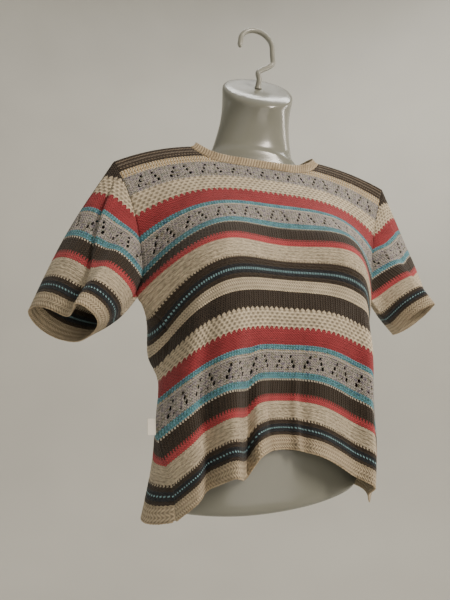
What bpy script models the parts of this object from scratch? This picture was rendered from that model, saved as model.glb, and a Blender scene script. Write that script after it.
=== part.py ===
"""Cropped knit top worn on a limbless hanging torso form.

Metres, +Z up, the front faces -Y and the wearer's right is at -X.
The origin is the inner top of the form's hook, where a rail carries it.
"""
import math

import bpy
import numpy as np
from mathutils import Vector
from mathutils.bvhtree import BVHTree
from mathutils.geometry import delaunay_2d_cdt

# Cloth and seams
CLOTH = 0.0024          # thickness of the knit
GAP = 0.0005            # space left along a seam between two pieces
STEP = 0.0165           # spacing of the cloth's own points
LENGTH = 0.5155         # shoulder to hem, along the cloth
UNDERARM = 0.2005       # level of the underarm on the panels
HALF_WIDTH = 0.205      # half of the flat panel's width

# Body sections, one column for each level down the cloth
LEVELS = (0.0, 0.09, 0.20, 0.26, 0.335, 0.41, 0.46, LENGTH)
SIDE_X = (0.238, 0.204, 0.173, 0.153, 0.159, 0.164, 0.149, 0.142)
SIDE_Y = (-0.009, -0.007, 0.007, -0.005, -0.009, -0.011, -0.017, -0.024)
FRONT_Y = (-0.019, -0.046, -0.074, -0.082, -0.087, -0.070, -0.065, -0.074)
FRONT_Z = (-0.251, -0.333, -0.429, -0.484, -0.551, -0.618, -0.661, -0.710)
SIDE_DROP = (0.048, 0.046, 0.078, 0.065, 0.064, 0.081, 0.084, 0.086)
DEPTH_POWER = (1.7, 2.4, 3.1, 3.4, 3.8, 3.8, 3.5, 2.9)
DROP_POWER = (2.5, 2.5, 2.7, 2.5, 1.9, 1.7, 1.4, 1.2)
FRONT_SWELL = (0.0, 0.002, 0.007, 0.013, 0.011, 0.006, 0.008, 0.011)
# What the wearer's left side adds to the columns above
LEFT_X = (-0.022, -0.006, 0.004, 0.017, 0.009, 0.001, 0.013, -0.004)
LEFT_Y = (-0.012, -0.005, -0.021, -0.001, 0.0, -0.008, 0.002, -0.006)
LEFT_DROP = (-0.014, -0.012, -0.023, -0.001, 0.005, -0.001, -0.003, -0.010)

BACK_LEVELS = (0.0, 0.045, 0.09, 0.14, 0.20, 0.26, 0.335, 0.41, 0.46, LENGTH)
BACK_Y = (-0.014, 0.042, 0.080, 0.091, 0.093, 0.091, 0.088, 0.088, 0.089, 0.091)
BACK_Z = (-0.249, -0.252, -0.282, -0.340, -0.410, -0.478, -0.558, -0.640, -0.694, -0.752)
BACK_SWELL = (0.0, 0.0, 0.004, 0.010, 0.030, 0.044, 0.026, 0.030, 0.046, 0.060)
BACK_POWER = 2.9
# How the empty side of the back sags and flares behind the wearer's right seam
BACK_SAG = (0.0, 0.0, 0.0, 0.0, 0.010, 0.044, 0.020, 0.010, 0.014, 0.022)
BACK_FLARE = (0.0, 0.0, 0.0, -0.006, -0.010, 0.010, 0.002, -0.002, 0.003, 0.008)
SAG_WIDTH = 0.66
ARMHOLE_BOW = 0.042     # how far the back armhole bows behind the front one
UNDERARM_PULL = (0.201, 0.030, 0.023, 0.008)    # right underarm: level, reach, outward, upward
ARMHOLE_SAG = (0.160, 0.030, 0.0)             # right back armhole: level, reach, depth

# Bust: half spacing, level, spread across, spread down, rise
BUST = (0.102, 0.202, 0.056, 0.062, 0.028)
# Soft folds of the front: place at the start and at the hem, half width, start level, rise at the hem
FOLDS = ((-0.64, -0.67, 0.083, 0.223, -0.024),
         (-0.41, -0.44, 0.089, 0.290, 0.020),
         (0.00, -0.02, 0.216, 0.274, -0.027),
         (0.27, 0.26, 0.104, 0.285, 0.004),
         (0.65, 0.73, 0.106, 0.210, 0.032))
# Deep fold of the front hem: where it starts and turns, start level, depth, drop, softness
DEEP_FOLD = (-0.53, -0.30, 0.345, -0.030, 0.019, 0.085)

# Neckline: shift towards the wearer's right and half width (of the half panel), depths, squareness
NECK_SHIFT = -0.035
NECK_HALF = 0.485
FRONT_NECK_DROP = 0.036
BACK_NECK_DROP = 0.074
FRONT_NECK_POWER = 5.0
BACK_NECK_POWER = 4.5
NECKBAND_HEIGHT = 0.014

# Sleeves: length from the shoulder, level of the sleeve at the underarm, flat width
SLEEVE_LENGTH = 0.2355
CAP_LAG = 0.037
SLEEVE_ROUND = 0.36
SLEEVE_TALL = 0.165     # height of the rectangle that each sleeve is laid out in
# Rim of the wearer's right cuff, from the top line forward and round
CUFF_RIM = ((-0.341, 0.052, -0.516), (-0.312, 0.010, -0.522), (-0.288, -0.010, -0.534),
            (-0.282, -0.038, -0.526), (-0.252, -0.028, -0.540), (-0.259, 0.022, -0.556),
            (-0.275, 0.066, -0.556), (-0.299, 0.083, -0.549), (-0.327, 0.078, -0.534))
CUFF_TURN = (0.0, 0.125, 0.20, 0.265, 0.375, 0.50, 0.625, 0.75, 0.88)
LEFT_CUFF_RISE = 0.037

# Lace bands: levels on the body and on the sleeve, repeat across, gaps cut in each repeat
BODY_LACE = (0.032, 0.126, 0.369)
SLEEVE_LACE = (0.089,)
LACE_REPEAT = 0.044
LACE_GAPS = ((-0.0117, 0.0145), (0.0117, 0.0145), (-0.0087, 0.0215), (0.0087, 0.0215))
GAP_WIDTH = 0.0044
GAP_HEIGHT = 0.0056

# Torso form: heights, half widths, front and back depths, middle of each ring
FORM_Z = (-0.752, -0.72, -0.68, -0.63, -0.58, -0.54, -0.505, -0.475, -0.445, -0.415, -0.385, -0.355,
          -0.330, -0.310, -0.295, -0.284, -0.275, -0.267, -0.260, -0.250)
FORM_X = (0.144, 0.144, 0.139, 0.128, 0.119, 0.119, 0.124, 0.130, 0.135, 0.140, 0.146, 0.152,
          0.160, 0.166, 0.166, 0.160, 0.146, 0.108, 0.085, 0.076)
FORM_FRONT = (0.058, 0.059, 0.058, 0.056, 0.057, 0.062, 0.068, 0.072, 0.073, 0.068, 0.061, 0.055,
              0.050, 0.047, 0.044, 0.043, 0.042, 0.042, 0.043, 0.046)
FORM_BACK = (0.055, 0.057, 0.056, 0.054, 0.054, 0.056, 0.059, 0.062, 0.064, 0.065, 0.065, 0.063,
             0.060, 0.057, 0.054, 0.051, 0.045, 0.037, 0.034, 0.036)
FORM_MIDDLE = 0.020
FORM_SQUARE = 2.5
FORM_BUST = (0.078, -0.444, 0.036, 0.040, 0.030)
FORM_BOTTOM = (-0.795, 0.09, 0.8)   # height at the middle, tilt, rise towards the sides
FORM_SIDES = 28
SHOULDER_SPACE = 0.0005     # space under the cloth where it rests on the shoulders
BODY_SPACE = 0.0025         # least space under the cloth elsewhere
NECK_FREE_Z = -0.262        # above this height the form stands clear in the neckline
NECK_RINGS = 6
NECK_BASE_Z = -0.240
NECK_OFFSET = -0.008    # how far the foot of the neck lies towards the wearer's right
CAP_HEIGHT = -0.114     # height of the slanted neck cap at the middle
CAP_SLOPE = 1.2         # rise towards the back
CAP_TILT = 0.15         # rise towards the wearer's left

HOOK_RADIUS = 0.0045
HOOK_BEND = 0.030       # radius of the hook's middle line

LABEL_SIZE = (0.012, 0.021, 0.0010)
LABEL_LEVEL = 0.392

COLOURS = {"knit": (0.48, 0.40, 0.30), "rib": (0.55, 0.45, 0.34), "form": (0.24, 0.23, 0.20),
           "hook": (0.22, 0.21, 0.18), "label": (0.80, 0.79, 0.76)}


def natural_spline(knots, values):
    """Gives a smooth curve through the values, straight at its two ends."""
    x = np.asarray(knots, float)
    y = np.asarray(values, float)
    n = len(x)
    h = np.diff(x)
    rows = np.zeros((n, n))
    right = np.zeros(n)
    rows[0, 0] = 1.0
    rows[-1, -1] = 1.0
    for i in range(1, n - 1):
        rows[i, i - 1] = h[i - 1]
        rows[i, i] = 2.0 * (h[i - 1] + h[i])
        rows[i, i + 1] = h[i]
        right[i] = 6.0 * ((y[i + 1] - y[i]) / h[i] - (y[i] - y[i - 1]) / h[i - 1])
    bend = np.linalg.solve(rows, right)

    def curve(at):
        i = int(np.clip(np.searchsorted(x, at, side="right") - 1, 0, n - 2))
        a = (x[i + 1] - at) / h[i]
        b = (at - x[i]) / h[i]
        curved = ((a ** 3 - a) * bend[i] + (b ** 3 - b) * bend[i + 1]) * h[i] ** 2 / 6.0
        return a * y[i] + b * y[i + 1] + curved

    return curve


SIDE_X_AT = natural_spline(LEVELS, SIDE_X)
SIDE_Y_AT = natural_spline(LEVELS, SIDE_Y)
FRONT_Y_AT = natural_spline(LEVELS, FRONT_Y)
FRONT_Z_AT = natural_spline(LEVELS, FRONT_Z)
SIDE_DROP_AT = natural_spline(LEVELS, SIDE_DROP)
DEPTH_POWER_AT = natural_spline(LEVELS, DEPTH_POWER)
DROP_POWER_AT = natural_spline(LEVELS, DROP_POWER)
FRONT_SWELL_AT = natural_spline(LEVELS, FRONT_SWELL)
LEFT_X_AT = natural_spline(LEVELS, LEFT_X)
LEFT_Y_AT = natural_spline(LEVELS, LEFT_Y)
LEFT_DROP_AT = natural_spline(LEVELS, LEFT_DROP)
BACK_Y_AT = natural_spline(BACK_LEVELS, BACK_Y)
BACK_Z_AT = natural_spline(BACK_LEVELS, BACK_Z)
BACK_SWELL_AT = natural_spline(BACK_LEVELS, BACK_SWELL)
BACK_SAG_AT = natural_spline(BACK_LEVELS, BACK_SAG)
BACK_FLARE_AT = natural_spline(BACK_LEVELS, BACK_FLARE)


def rounded(t):
    """Distance from the middle, 0 to 1, with no corner at the middle."""
    soft = 0.12
    return (math.sqrt(t * t + soft * soft) - soft) / (math.sqrt(1.0 + soft * soft) - soft)


def front_point(t, v):
    """Front panel: t from -1 (wearer's right seam) to 1, v down the cloth."""
    left = 0.5 * (1.0 + math.tanh(t / 0.15))
    across = rounded(t)
    side_x = SIDE_X_AT(v) + LEFT_X_AT(v) * left
    side_y = SIDE_Y_AT(v) + LEFT_Y_AT(v) * left
    drop = SIDE_DROP_AT(v) + LEFT_DROP_AT(v) * left
    front_y = FRONT_Y_AT(v)
    x = side_x * t + FRONT_SWELL_AT(v) * math.sin(math.pi * t)
    y = front_y + (side_y - front_y) * across ** DEPTH_POWER_AT(v)
    z = FRONT_Z_AT(v) - drop * across ** DROP_POWER_AT(v)
    bust_x, bust_level, wide, tall, rise = BUST
    y -= rise * math.exp(-((abs(x) - bust_x) / wide) ** 2 - ((v - bust_level) / tall) ** 2)
    for start, end, width, level, amount in FOLDS:
        grown = min(max((v - level) / (LENGTH - level), 0.0), 1.0)
        place = start + (end - start) * grown
        y -= amount * grown * math.exp(-((t - place) / width) ** 2)
    start, turn, level, depth, fall, soft = DEEP_FOLD
    grown = min(max((v - level) / (LENGTH - level), 0.0), 1.0)
    if t < turn:
        ramp = min(max((t - start) / (turn - start), 0.0), 1.0)
        shape = ramp * ramp * (3.0 - 2.0 * ramp)
    else:
        shape = math.exp(-((t - turn) / soft) ** 2)
    y -= depth * grown * shape
    z -= fall * grown * shape
    level, reach, outward, upward = UNDERARM_PULL
    pull = (1.0 - left) * across ** 2 * math.exp(-((v - level) / reach) ** 2)
    return np.array((x - outward * pull, y, z + upward * pull))


def back_edge(side, v):
    """Edge of the back panel: the side seam, and above it the back of the armhole."""
    edge = front_point(side, v)
    if 0.0 < v < UNDERARM:
        bow = math.sin(math.pi * v / UNDERARM) ** 0.85
        edge = edge + np.array((-side * 0.010 * bow, ARMHOLE_BOW * bow, 0.014 * bow))
        if side < 0.0:
            level, reach, depth = ARMHOLE_SAG
            near = min((UNDERARM - v) / 0.02, 1.0)
            edge[2] -= depth * near * math.exp(-((v - level) / reach) ** 2)
    return edge


def back_plain(t, v):
    edge = back_edge(math.copysign(1.0, t), v)
    across = rounded(t)
    x = abs(edge[0]) * t + BACK_SWELL_AT(v) * math.copysign(math.sin(math.pi * t * t), t)
    y = BACK_Y_AT(v) + (edge[1] - BACK_Y_AT(v)) * across ** BACK_POWER
    z = BACK_Z_AT(v) + (edge[2] - BACK_Z_AT(v)) * across ** 2.2
    if t < 0.0:
        near = min((1.0 - abs(t)) / SAG_WIDTH, 1.0)
        share = 6.75 * near * (1.0 - near) ** 2
        x -= BACK_FLARE_AT(v) * share
        z -= BACK_SAG_AT(v) * share
    return np.array((x, y, z))


def back_point(t, v):
    """Back panel: it starts on the shoulder seam and shares the side seams."""
    share = max(0.0, 1.0 - v / 0.06) ** 2
    point = back_plain(t, v)
    if share > 0.0:
        point = point + (front_point(t, 0.0) - back_plain(t, 0.0)) * share
    return point


def closed_spline(turns, points):
    """Smooth closed curve through the points, read at a turn of 0 to 1."""
    times = [turn - 1.0 for turn in turns] + list(turns) + [turn + 1.0 for turn in turns]
    axes = [natural_spline(times, [p[i] for p in points] * 3) for i in range(3)]
    return lambda turn: np.array([axis(turn) for axis in axes])


RIGHT_CUFF = closed_spline(CUFF_TURN, CUFF_RIM)


def cuff_point(side, turn):
    point = RIGHT_CUFF(turn).copy()
    if side > 0:
        point[0] = -point[0]
        point[2] += LEFT_CUFF_RISE
    return point


def armhole_level(turn):
    """Level on the panels that meets the sleeve at this turn."""
    return UNDERARM * 2.0 * min(turn, 1.0 - turn)


def cap_level(turn):
    """Level on the sleeve where its cap ends, 0 at the shoulder."""
    v = armhole_level(turn)
    part = min(v / 0.1, 1.0)
    return v - CAP_LAG * part * part * (3.0 - 2.0 * part)


def sleeve_point(side, turn, level):
    """Sleeve: turn 0 on the top line, 0.5 at the underarm; level down the sleeve."""
    v = armhole_level(turn)
    arm = front_point(side, v) if turn <= 0.5 else back_edge(side, v)
    start = cap_level(turn)
    down = (level - start) / (SLEEVE_LENGTH - start)
    point = arm * (1.0 - down) + cuff_point(side, turn) * down
    belly = math.sin(math.pi * down)
    outward = math.cos(2.0 * math.pi * turn)
    forward = math.sin(2.0 * math.pi * turn)
    point[0] += side * 0.006 * belly * outward
    point[1] -= 0.012 * belly * forward
    point[2] += 0.004 * belly * outward
    return point


def neck_level(t, depth):
    """Level of the neckline, 0 where it meets the shoulder seam."""
    place = min(abs((t - NECK_SHIFT) / NECK_HALF), 1.0)
    power = FRONT_NECK_POWER if depth == FRONT_NECK_DROP else BACK_NECK_POWER
    return depth * (1.0 - place ** power)


NECK_RIGHT = NECK_SHIFT - NECK_HALF
NECK_LEFT = NECK_SHIFT + NECK_HALF


def even(start, end, spacing):
    count = max(2, int(round(abs(end - start) / spacing)))
    return [start + (end - start) * i / count for i in range(count + 1)]


ARMHOLE_LEVELS = even(0.0, UNDERARM, STEP)
SEAM_LEVELS = even(UNDERARM, LENGTH, STEP)
RIGHT_SHOULDER = even(-1.0, NECK_RIGHT, STEP / HALF_WIDTH)
LEFT_SHOULDER = even(NECK_LEFT, 1.0, STEP / HALF_WIDTH)


def neck_places():
    """Places along the neckline, closer together near its two ends."""
    count = 20
    places = []
    for i in range(count + 1):
        turn = math.pi * i / count
        places.append(NECK_SHIFT - NECK_HALF * math.cos(turn))
    return places


def panel_outline(neck_depth):
    """Corners of a body panel in the flat, each with its name; the neck is at the top."""
    outline = []

    def add(t, v, name, seam):
        outline.append((t * HALF_WIDTH, v, name, seam))

    for side, levels_name in ((-1, "right"), (1, "left")):
        down = []
        for i, v in enumerate(ARMHOLE_LEVELS[:-1]):
            name = ("shoulder end", side) if i == 0 else ("armhole", side, i)
            down.append((side, v, name, True))
        for i, v in enumerate(SEAM_LEVELS):
            name = ("underarm", side) if i == 0 else ("side", side, i)
            down.append((side, v, name, i < len(SEAM_LEVELS) - 1))
        if side < 0:
            for t, v, name, seam in down:
                add(t, v, name, seam)
            for t in even(-1.0, 1.0, STEP / HALF_WIDTH)[1:-1]:
                add(t, LENGTH, None, False)
        else:
            down.reverse()
            for i, (t, v, name, seam) in enumerate(down):
                add(t, v, name, True)
    for i, t in enumerate(reversed(LEFT_SHOULDER[1:-1])):
        add(t, 0.0, ("shoulder", 1, i), True)
    places = neck_places()
    for i, t in enumerate(reversed(places)):
        name = ("neck end", 1) if i == 0 else ("neck", neck_depth, i)
        if i == len(places) - 1:
            name = ("neck end", -1)
        add(t, neck_level(t, neck_depth), name, True)
    for i, t in enumerate(reversed(RIGHT_SHOULDER[1:-1])):
        add(t, 0.0, ("shoulder", -1, i), True)
    return outline


def sleeve_flat(turn, level):
    """Place in the sleeve's rectangle: across by the turn, down by the share of its length."""
    start = cap_level(turn)
    return turn * SLEEVE_ROUND, (level - start) / (SLEEVE_LENGTH - start) * SLEEVE_TALL


def sleeve_place(side, x, y):
    """Point in space of a place in the sleeve's rectangle."""
    turn = x / SLEEVE_ROUND
    start = cap_level(turn)
    return sleeve_point(side, turn, start + (SLEEVE_LENGTH - start) * y / SLEEVE_TALL)


def sleeve_outline(side, front):
    """Corners of half a sleeve in its rectangle, each with its name."""
    outline = []
    turns = [0.5 * v / UNDERARM for v in ARMHOLE_LEVELS]
    if not front:
        turns = [1.0 - turn for turn in turns]
    part = "armhole" if front else "back armhole"
    last = len(turns) - 1
    for i, turn in enumerate(turns):
        name = (part, side, i)
        if i == 0:
            name = ("shoulder end", side)
        if i == last:
            name = ("underarm", side)
        outline.append((turn * SLEEVE_ROUND, 0.0, name, True))
    under = even(0.0, SLEEVE_TALL, STEP)
    for i, y in enumerate(under[1:]):
        outline.append((turns[-1] * SLEEVE_ROUND, y, ("under sleeve", side, i), i < len(under) - 2))
    for turn in even(turns[-1], turns[0], STEP / SLEEVE_ROUND)[1:-1]:
        outline.append((turn * SLEEVE_ROUND, SLEEVE_TALL, None, False))
    for i, y in enumerate(under[::-1][:-1]):
        outline.append((turns[0] * SLEEVE_ROUND, y, ("top sleeve", side, i), True))
    return outline


def inside(point, loop):
    """True where the flat point lies inside the closed loop."""
    x, y = point
    odd = False
    for i in range(len(loop)):
        x0, y0 = loop[i]
        x1, y1 = loop[i - 1]
        if (y0 > y) != (y1 > y) and x < (x1 - x0) * (y - y0) / (y1 - y0) + x0:
            odd = not odd
    return odd


def clearance(point, loop):
    """Least distance from the flat point to the loop."""
    x, y = point
    best = 1.0
    for i in range(len(loop)):
        x0, y0 = loop[i]
        x1, y1 = loop[i - 1]
        dx, dy = x1 - x0, y1 - y0
        along = min(max(((x - x0) * dx + (y - y0) * dy) / (dx * dx + dy * dy), 0.0), 1.0)
        best = min(best, math.hypot(x - x0 - along * dx, y - y0 - along * dy))
    return best


def lace_holes(loop, bands, low, high, flat_of):
    """Four-cornered gaps of the lace bands that lie well inside the loop."""
    holes = []
    first = math.floor(low / LACE_REPEAT)
    last = math.ceil(high / LACE_REPEAT)
    for level in bands:
        for k in range(first, last + 1):
            for dx, dv in LACE_GAPS:
                x, v = (k + 0.5) * LACE_REPEAT + dx, level + dv
                w, h = GAP_WIDTH / 2, GAP_HEIGHT / 2
                if low < x - w and x + w < high:
                    hole = [flat_of(*corner) for corner in ((x - w, v), (x, v + h), (x + w, v), (x, v - h))]
                    if all(inside(c, loop) and clearance(c, loop) > 0.0045 for c in hole):
                        holes.append(hole)
    return holes


def cut_piece(outline, place, bands, flat_of=lambda x, v: (x, v)):
    """Triangles of one flat piece with its lace gaps, placed in space."""
    loop = [(x, v) for x, v, _, _ in outline]
    low = min(x for x, _ in loop)
    high = max(x for x, _ in loop)
    holes = lace_holes(loop, bands, low, high, flat_of)
    flat = list(loop)
    edges = [(i, (i + 1) % len(loop)) for i in range(len(loop))]
    for hole in holes:
        base = len(flat)
        flat.extend(hole)
        edges.extend((base + i, base + (i + 1) % 4) for i in range(4))
    centres = [((h[0][0] + h[2][0]) / 2, (h[1][1] + h[3][1]) / 2) for h in holes]
    rows = int((max(v for _, v in loop)) / (STEP * 0.92)) + 1
    for row in range(1, rows):
        v = row * STEP * 0.92
        x = low + (0.5 if row % 2 else 1.0) * STEP
        while x < high:
            near = any(abs(x - cx) + abs(v - cv) < 0.0085 for cx, cv in centres)
            if not near and inside((x, v), loop) and clearance((x, v), loop) > 0.55 * STEP:
                flat.append((x, v))
            x += STEP
    scale = 1000.0
    result = delaunay_2d_cdt([Vector((x * scale, v * scale)) for x, v in flat], edges, [], 0, 1e-5)
    triangles = []
    for face in result[2]:
        corners = [result[3][i][0] for i in face]
        middle = (sum(flat[i][0] for i in corners) / 3, sum(flat[i][1] for i in corners) / 3)
        in_hole = any(inside(middle, hole) for hole in holes)
        if inside(middle, loop) and not in_hole:
            triangles.append(corners)
    points = np.array([place(x, v) for x, v in flat])
    hole_loops = [list(range(len(loop) + 4 * k, len(loop) + 4 * k + 4)) for k in range(len(holes))]
    return {"points": points, "flat": flat, "triangles": triangles, "loop": list(range(len(loop))),
            "names": [name for _, _, name, _ in outline], "seams": [seam for _, _, _, seam in outline],
            "holes": hole_loops}


def face_outward(piece, outward):
    """Turns the triangles so that their normals point the given way on the whole."""
    total = np.zeros(3)
    for a, b, c in piece["triangles"]:
        p = piece["points"]
        total += np.cross(p[b] - p[a], p[c] - p[a])
    if total @ np.array(outward) < 0:
        piece["triangles"] = [[a, c, b] for a, b, c in piece["triangles"]]


def most_open(facets):
    """Direction whose widest angle to the facets around a point is the least."""
    best = facets.sum(axis=0)
    best /= np.linalg.norm(best)
    for k in range(120):
        worst = facets[np.argmin(facets @ best)]
        best = best + worst * 0.3 / (1.0 + 0.25 * k)
        best /= np.linalg.norm(best)
    return best


def shared_normals(pieces):
    """Normals at each point, with one normal where pieces meet at a seam."""
    around = {}
    for piece in pieces:
        p = piece["points"]
        normals = np.zeros_like(p)
        names = dict(enumerate(piece["names"]))
        for corners in piece["triangles"]:
            a, b, c = corners
            n = np.cross(p[b] - p[a], p[c] - p[a])
            for i in corners:
                normals[i] += n
                if names.get(i) is not None:
                    around.setdefault(names[i], []).append(n / np.linalg.norm(n))
        piece["normals"] = normals / np.linalg.norm(normals, axis=1)[:, None]
    for name, facets in around.items():
        around[name] = most_open(np.array(facets))
    for piece in pieces:
        for i, name in enumerate(piece["names"]):
            if name is not None:
                piece["normals"][i] = around[name]


def seam_shifts(piece):
    """Moves each seam point half a gap into its own piece."""
    p, n = piece["points"], piece["normals"]
    shifts = np.zeros_like(p)
    loop, seams = piece["loop"], piece["seams"]
    centre_of = {}
    for a, b, c in piece["triangles"]:
        middle = (p[a] + p[b] + p[c]) / 3
        for i, j in ((a, b), (b, c), (c, a)):
            centre_of[frozenset((i, j))] = middle
    count = len(loop)
    for k in range(count):
        i = loop[k]
        inward = []
        for j, is_seam in ((loop[k - 1], seams[k - 1]), (loop[(k + 1) % count], seams[k])):
            if not is_seam:
                continue
            along = p[j] - p[i]
            away = np.cross(n[i], along)
            away /= np.linalg.norm(away)
            if away @ (centre_of[frozenset((i, j))] - p[i]) < 0:
                away = -away
            inward.append(away)
        if inward:
            total = sum(inward)
            size = np.linalg.norm(total)
            total /= size
            shifts[i] = total * (GAP / 2) / max(total @ inward[0], 0.5)
    return shifts


def thicken(piece):
    """Closed wall of the cloth's thickness, with the seam gaps and lace gaps in it."""
    p = piece["points"] + seam_shifts(piece)
    n = piece["normals"]
    count = len(p)
    verts = np.vstack((p + n * CLOTH / 2, p - n * CLOTH / 2))
    faces = [tuple(t) for t in piece["triangles"]]
    faces += [(a + count, c + count, b + count) for a, b, c in piece["triangles"]]
    used = {}
    for a, b, c in piece["triangles"]:
        for i, j in ((a, b), (b, c), (c, a)):
            used[(i, j)] = True
    for i, j in list(used):
        if (j, i) in used:
            continue
        if tuple(piece["points"][i]) < tuple(piece["points"][j]):
            faces.append((j, i, i + count))
            faces.append((j, i + count, j + count))
        else:
            faces.append((j, i, j + count))
            faces.append((i, i + count, j + count))
    return verts, faces


def add_object(name, verts, faces, colour, roughness=0.9):
    """Adds one closed mesh object with its own plain material."""
    used = sorted({i for face in faces for i in face})
    index = {old: new for new, old in enumerate(used)}
    mesh = bpy.data.meshes.new(name)
    mesh.from_pydata([tuple(verts[i]) for i in used], [], [tuple(index[i] for i in f) for f in faces])
    mesh.update()
    volume = 0.0
    for polygon in mesh.polygons:
        corners = [mesh.vertices[i].co for i in polygon.vertices]
        for k in range(1, len(corners) - 1):
            volume += corners[0].dot(corners[k].cross(corners[k + 1])) / 6.0
    if volume < 0:
        mesh.flip_normals()
    mesh.shade_smooth()
    mesh.set_sharp_from_angle(angle=math.radians(50))
    material = bpy.data.materials.new(name)
    material.use_nodes = True
    shader = material.node_tree.nodes["Principled BSDF"]
    shader.inputs["Base Color"].default_value = (*colour, 1.0)
    shader.inputs["Roughness"].default_value = roughness
    shader.inputs["Metallic"].default_value = 0.0
    mesh.materials.append(material)
    obj = bpy.data.objects.new(name, mesh)
    bpy.context.scene.collection.objects.link(obj)
    return obj


def make_cloth():
    """Front, back and the two halves of each sleeve."""
    front = cut_piece(panel_outline(FRONT_NECK_DROP), lambda x, v: front_point(x / HALF_WIDTH, v), BODY_LACE)
    back = cut_piece(panel_outline(BACK_NECK_DROP), lambda x, v: back_point(x / HALF_WIDTH, v), BODY_LACE)
    back["names"] = [("back armhole",) + n[1:] if n and n[0] == "armhole" else n for n in back["names"]]
    face_outward(front, (0, -1, 0))
    face_outward(back, (0, 1, 0))
    pieces = {"front_panel": front, "back_panel": back}
    for side, word in ((-1, "right"), (1, "left")):
        for is_front, part in ((True, "front"), (False, "back")):
            def place(x, y, side=side):
                return sleeve_place(side, x, y)

            half = cut_piece(sleeve_outline(side, is_front), place, SLEEVE_LACE,
                             lambda x, v: sleeve_flat(x / SLEEVE_ROUND, v))
            face_outward(half, (side * 0.4, -1 if is_front else 1, 0))
            pieces[word + "_sleeve_" + part] = half
    shared_normals(list(pieces.values()))
    for name, piece in pieces.items():
        verts, faces = thicken(piece)
        add_object(name, verts, faces, COLOURS["knit"])
    return pieces


def make_neckband(front, back):
    """Ribbed band that stands on the neckline all round, rolled over at its top."""
    loop = []
    for piece, forward, place in ((front, True, front_point), (back, False, back_point)):
        picked = [i for i, name in enumerate(piece["names"]) if name and name[0] in ("neck", "neck end")]
        picked = picked if forward else picked[::-1]
        for i in picked[:-1]:
            x, v = piece["flat"][i]
            toward = np.array((NECK_SHIFT * HALF_WIDTH - x, -0.01 - v))
            toward *= 0.004 / np.linalg.norm(toward)
            away = place((x + toward[0]) / HALF_WIDTH, v + toward[1]) - place(x / HALF_WIDTH, v)
            spare = 0.0006 if piece["names"][i][0] == "neck end" else 0.0
            loop.append((piece["points"][i], piece["normals"][i], away, spare))
    count = len(loop)
    profile = ((0.5 * CLOTH, 0.0), (0.70 * CLOTH, 0.45), (0.85 * CLOTH, 0.82), (0.45 * CLOTH, 1.0),
               (-0.35 * CLOTH, 0.98), (-0.62 * CLOTH, 0.78), (-0.5 * CLOTH, 0.0))
    verts = []
    for k in range(count):
        point, normal, away, spare = loop[k]
        along = loop[(k + 1) % count][0] - loop[k - 1][0]
        rise = np.cross(normal, along)
        rise /= np.linalg.norm(rise)
        if rise @ away < 0:
            rise = -rise
        upright = rise * 0.45 + np.array((0.0, 0.0, 1.0))
        upright /= np.linalg.norm(upright)
        for out, up in profile:
            lift = rise * (GAP / 2 + spare) + (rise * (1 - up) + upright * up) * up * NECKBAND_HEIGHT
            verts.append(point + normal * out + lift)
    faces = []
    size = len(profile)
    for k in range(count):
        nxt = (k + 1) % count
        for i in range(size):
            j = (i + 1) % size
            a, b = k * size + i, k * size + j
            c, d = nxt * size + j, nxt * size + i
            faces.append((a, b, c))
            faces.append((a, c, d))
    add_object("neckband", np.array(verts), faces, COLOURS["rib"])


def make_label(piece):
    """Bare fabric label that stands out of the wearer's right side seam."""
    at = front_point(-1.0, LABEL_LEVEL)
    low = front_point(-1.0, LABEL_LEVEL + 0.01) - front_point(-1.0, LABEL_LEVEL - 0.01)
    low /= np.linalg.norm(low)
    nearest = min((i for i, name in enumerate(piece["names"]) if name and name[:2] == ("side", -1)),
                  key=lambda i: np.linalg.norm(piece["points"][i] - at))
    normal = piece["normals"][nearest]
    normal = normal - low * (normal @ low)
    normal /= np.linalg.norm(normal)
    across = np.cross(low, normal)
    start = at + normal * (CLOTH / 2 + 0.0007)
    wide, tall, thick = LABEL_SIZE
    verts = []
    for depth in (0.0, wide):
        for down in (-tall / 2, tall / 2):
            for side in (-thick / 2, thick / 2):
                verts.append(start + normal * depth + low * down + across * side)
    faces = [(0, 1, 3), (0, 3, 2), (4, 6, 7), (4, 7, 5), (0, 4, 5), (0, 5, 1),
             (2, 3, 7), (2, 7, 6), (0, 2, 6), (0, 6, 4), (1, 5, 7), (1, 7, 3)]
    add_object("side_label", np.array(verts), faces, COLOURS["label"], 0.8)


def form_ring(half_x, front, back, middle, angle):
    """Place on a rounded ring of the form, seen from above."""
    c, s = math.cos(angle), math.sin(angle)
    power = 2.0 / FORM_SQUARE
    x = half_x * math.copysign(abs(c) ** power, c)
    depth = front if s < 0 else back
    y = middle + depth * math.copysign(abs(s) ** power, s)
    return x, y


def form_bust(x, z):
    half, height, wide, tall, rise = FORM_BUST
    return rise * math.exp(-((abs(x) - half) / wide) ** 2 - ((z - height) / tall) ** 2)


def cloth_tree(pieces):
    """Search tree of the middle surface of all cloth pieces, facing outward."""
    points = []
    triangles = []
    for piece in pieces.values():
        base = len(points)
        points.extend(Vector(p) for p in piece["points"])
        triangles.extend(tuple(i + base for i in t) for t in piece["triangles"])
    return BVHTree.FromPolygons(points, triangles)


def tuck_in(point, tree):
    """Moves a point of the form inward until it has its space under the cloth."""
    for _ in range(4):
        place, normal, _, distance = tree.find_nearest(Vector(point))
        space = CLOTH / 2 + (SHOULDER_SPACE if point[2] > -0.34 else BODY_SPACE)
        depth = (place - Vector(point)).dot(normal)
        if depth > 0 and distance >= space:
            break
        if depth > 0:
            point = np.array(point) - np.array(normal) * (space - distance + 0.0001)
        else:
            point = np.array(place) - np.array(normal) * (space + 0.0001)
    return tuple(point)


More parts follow.
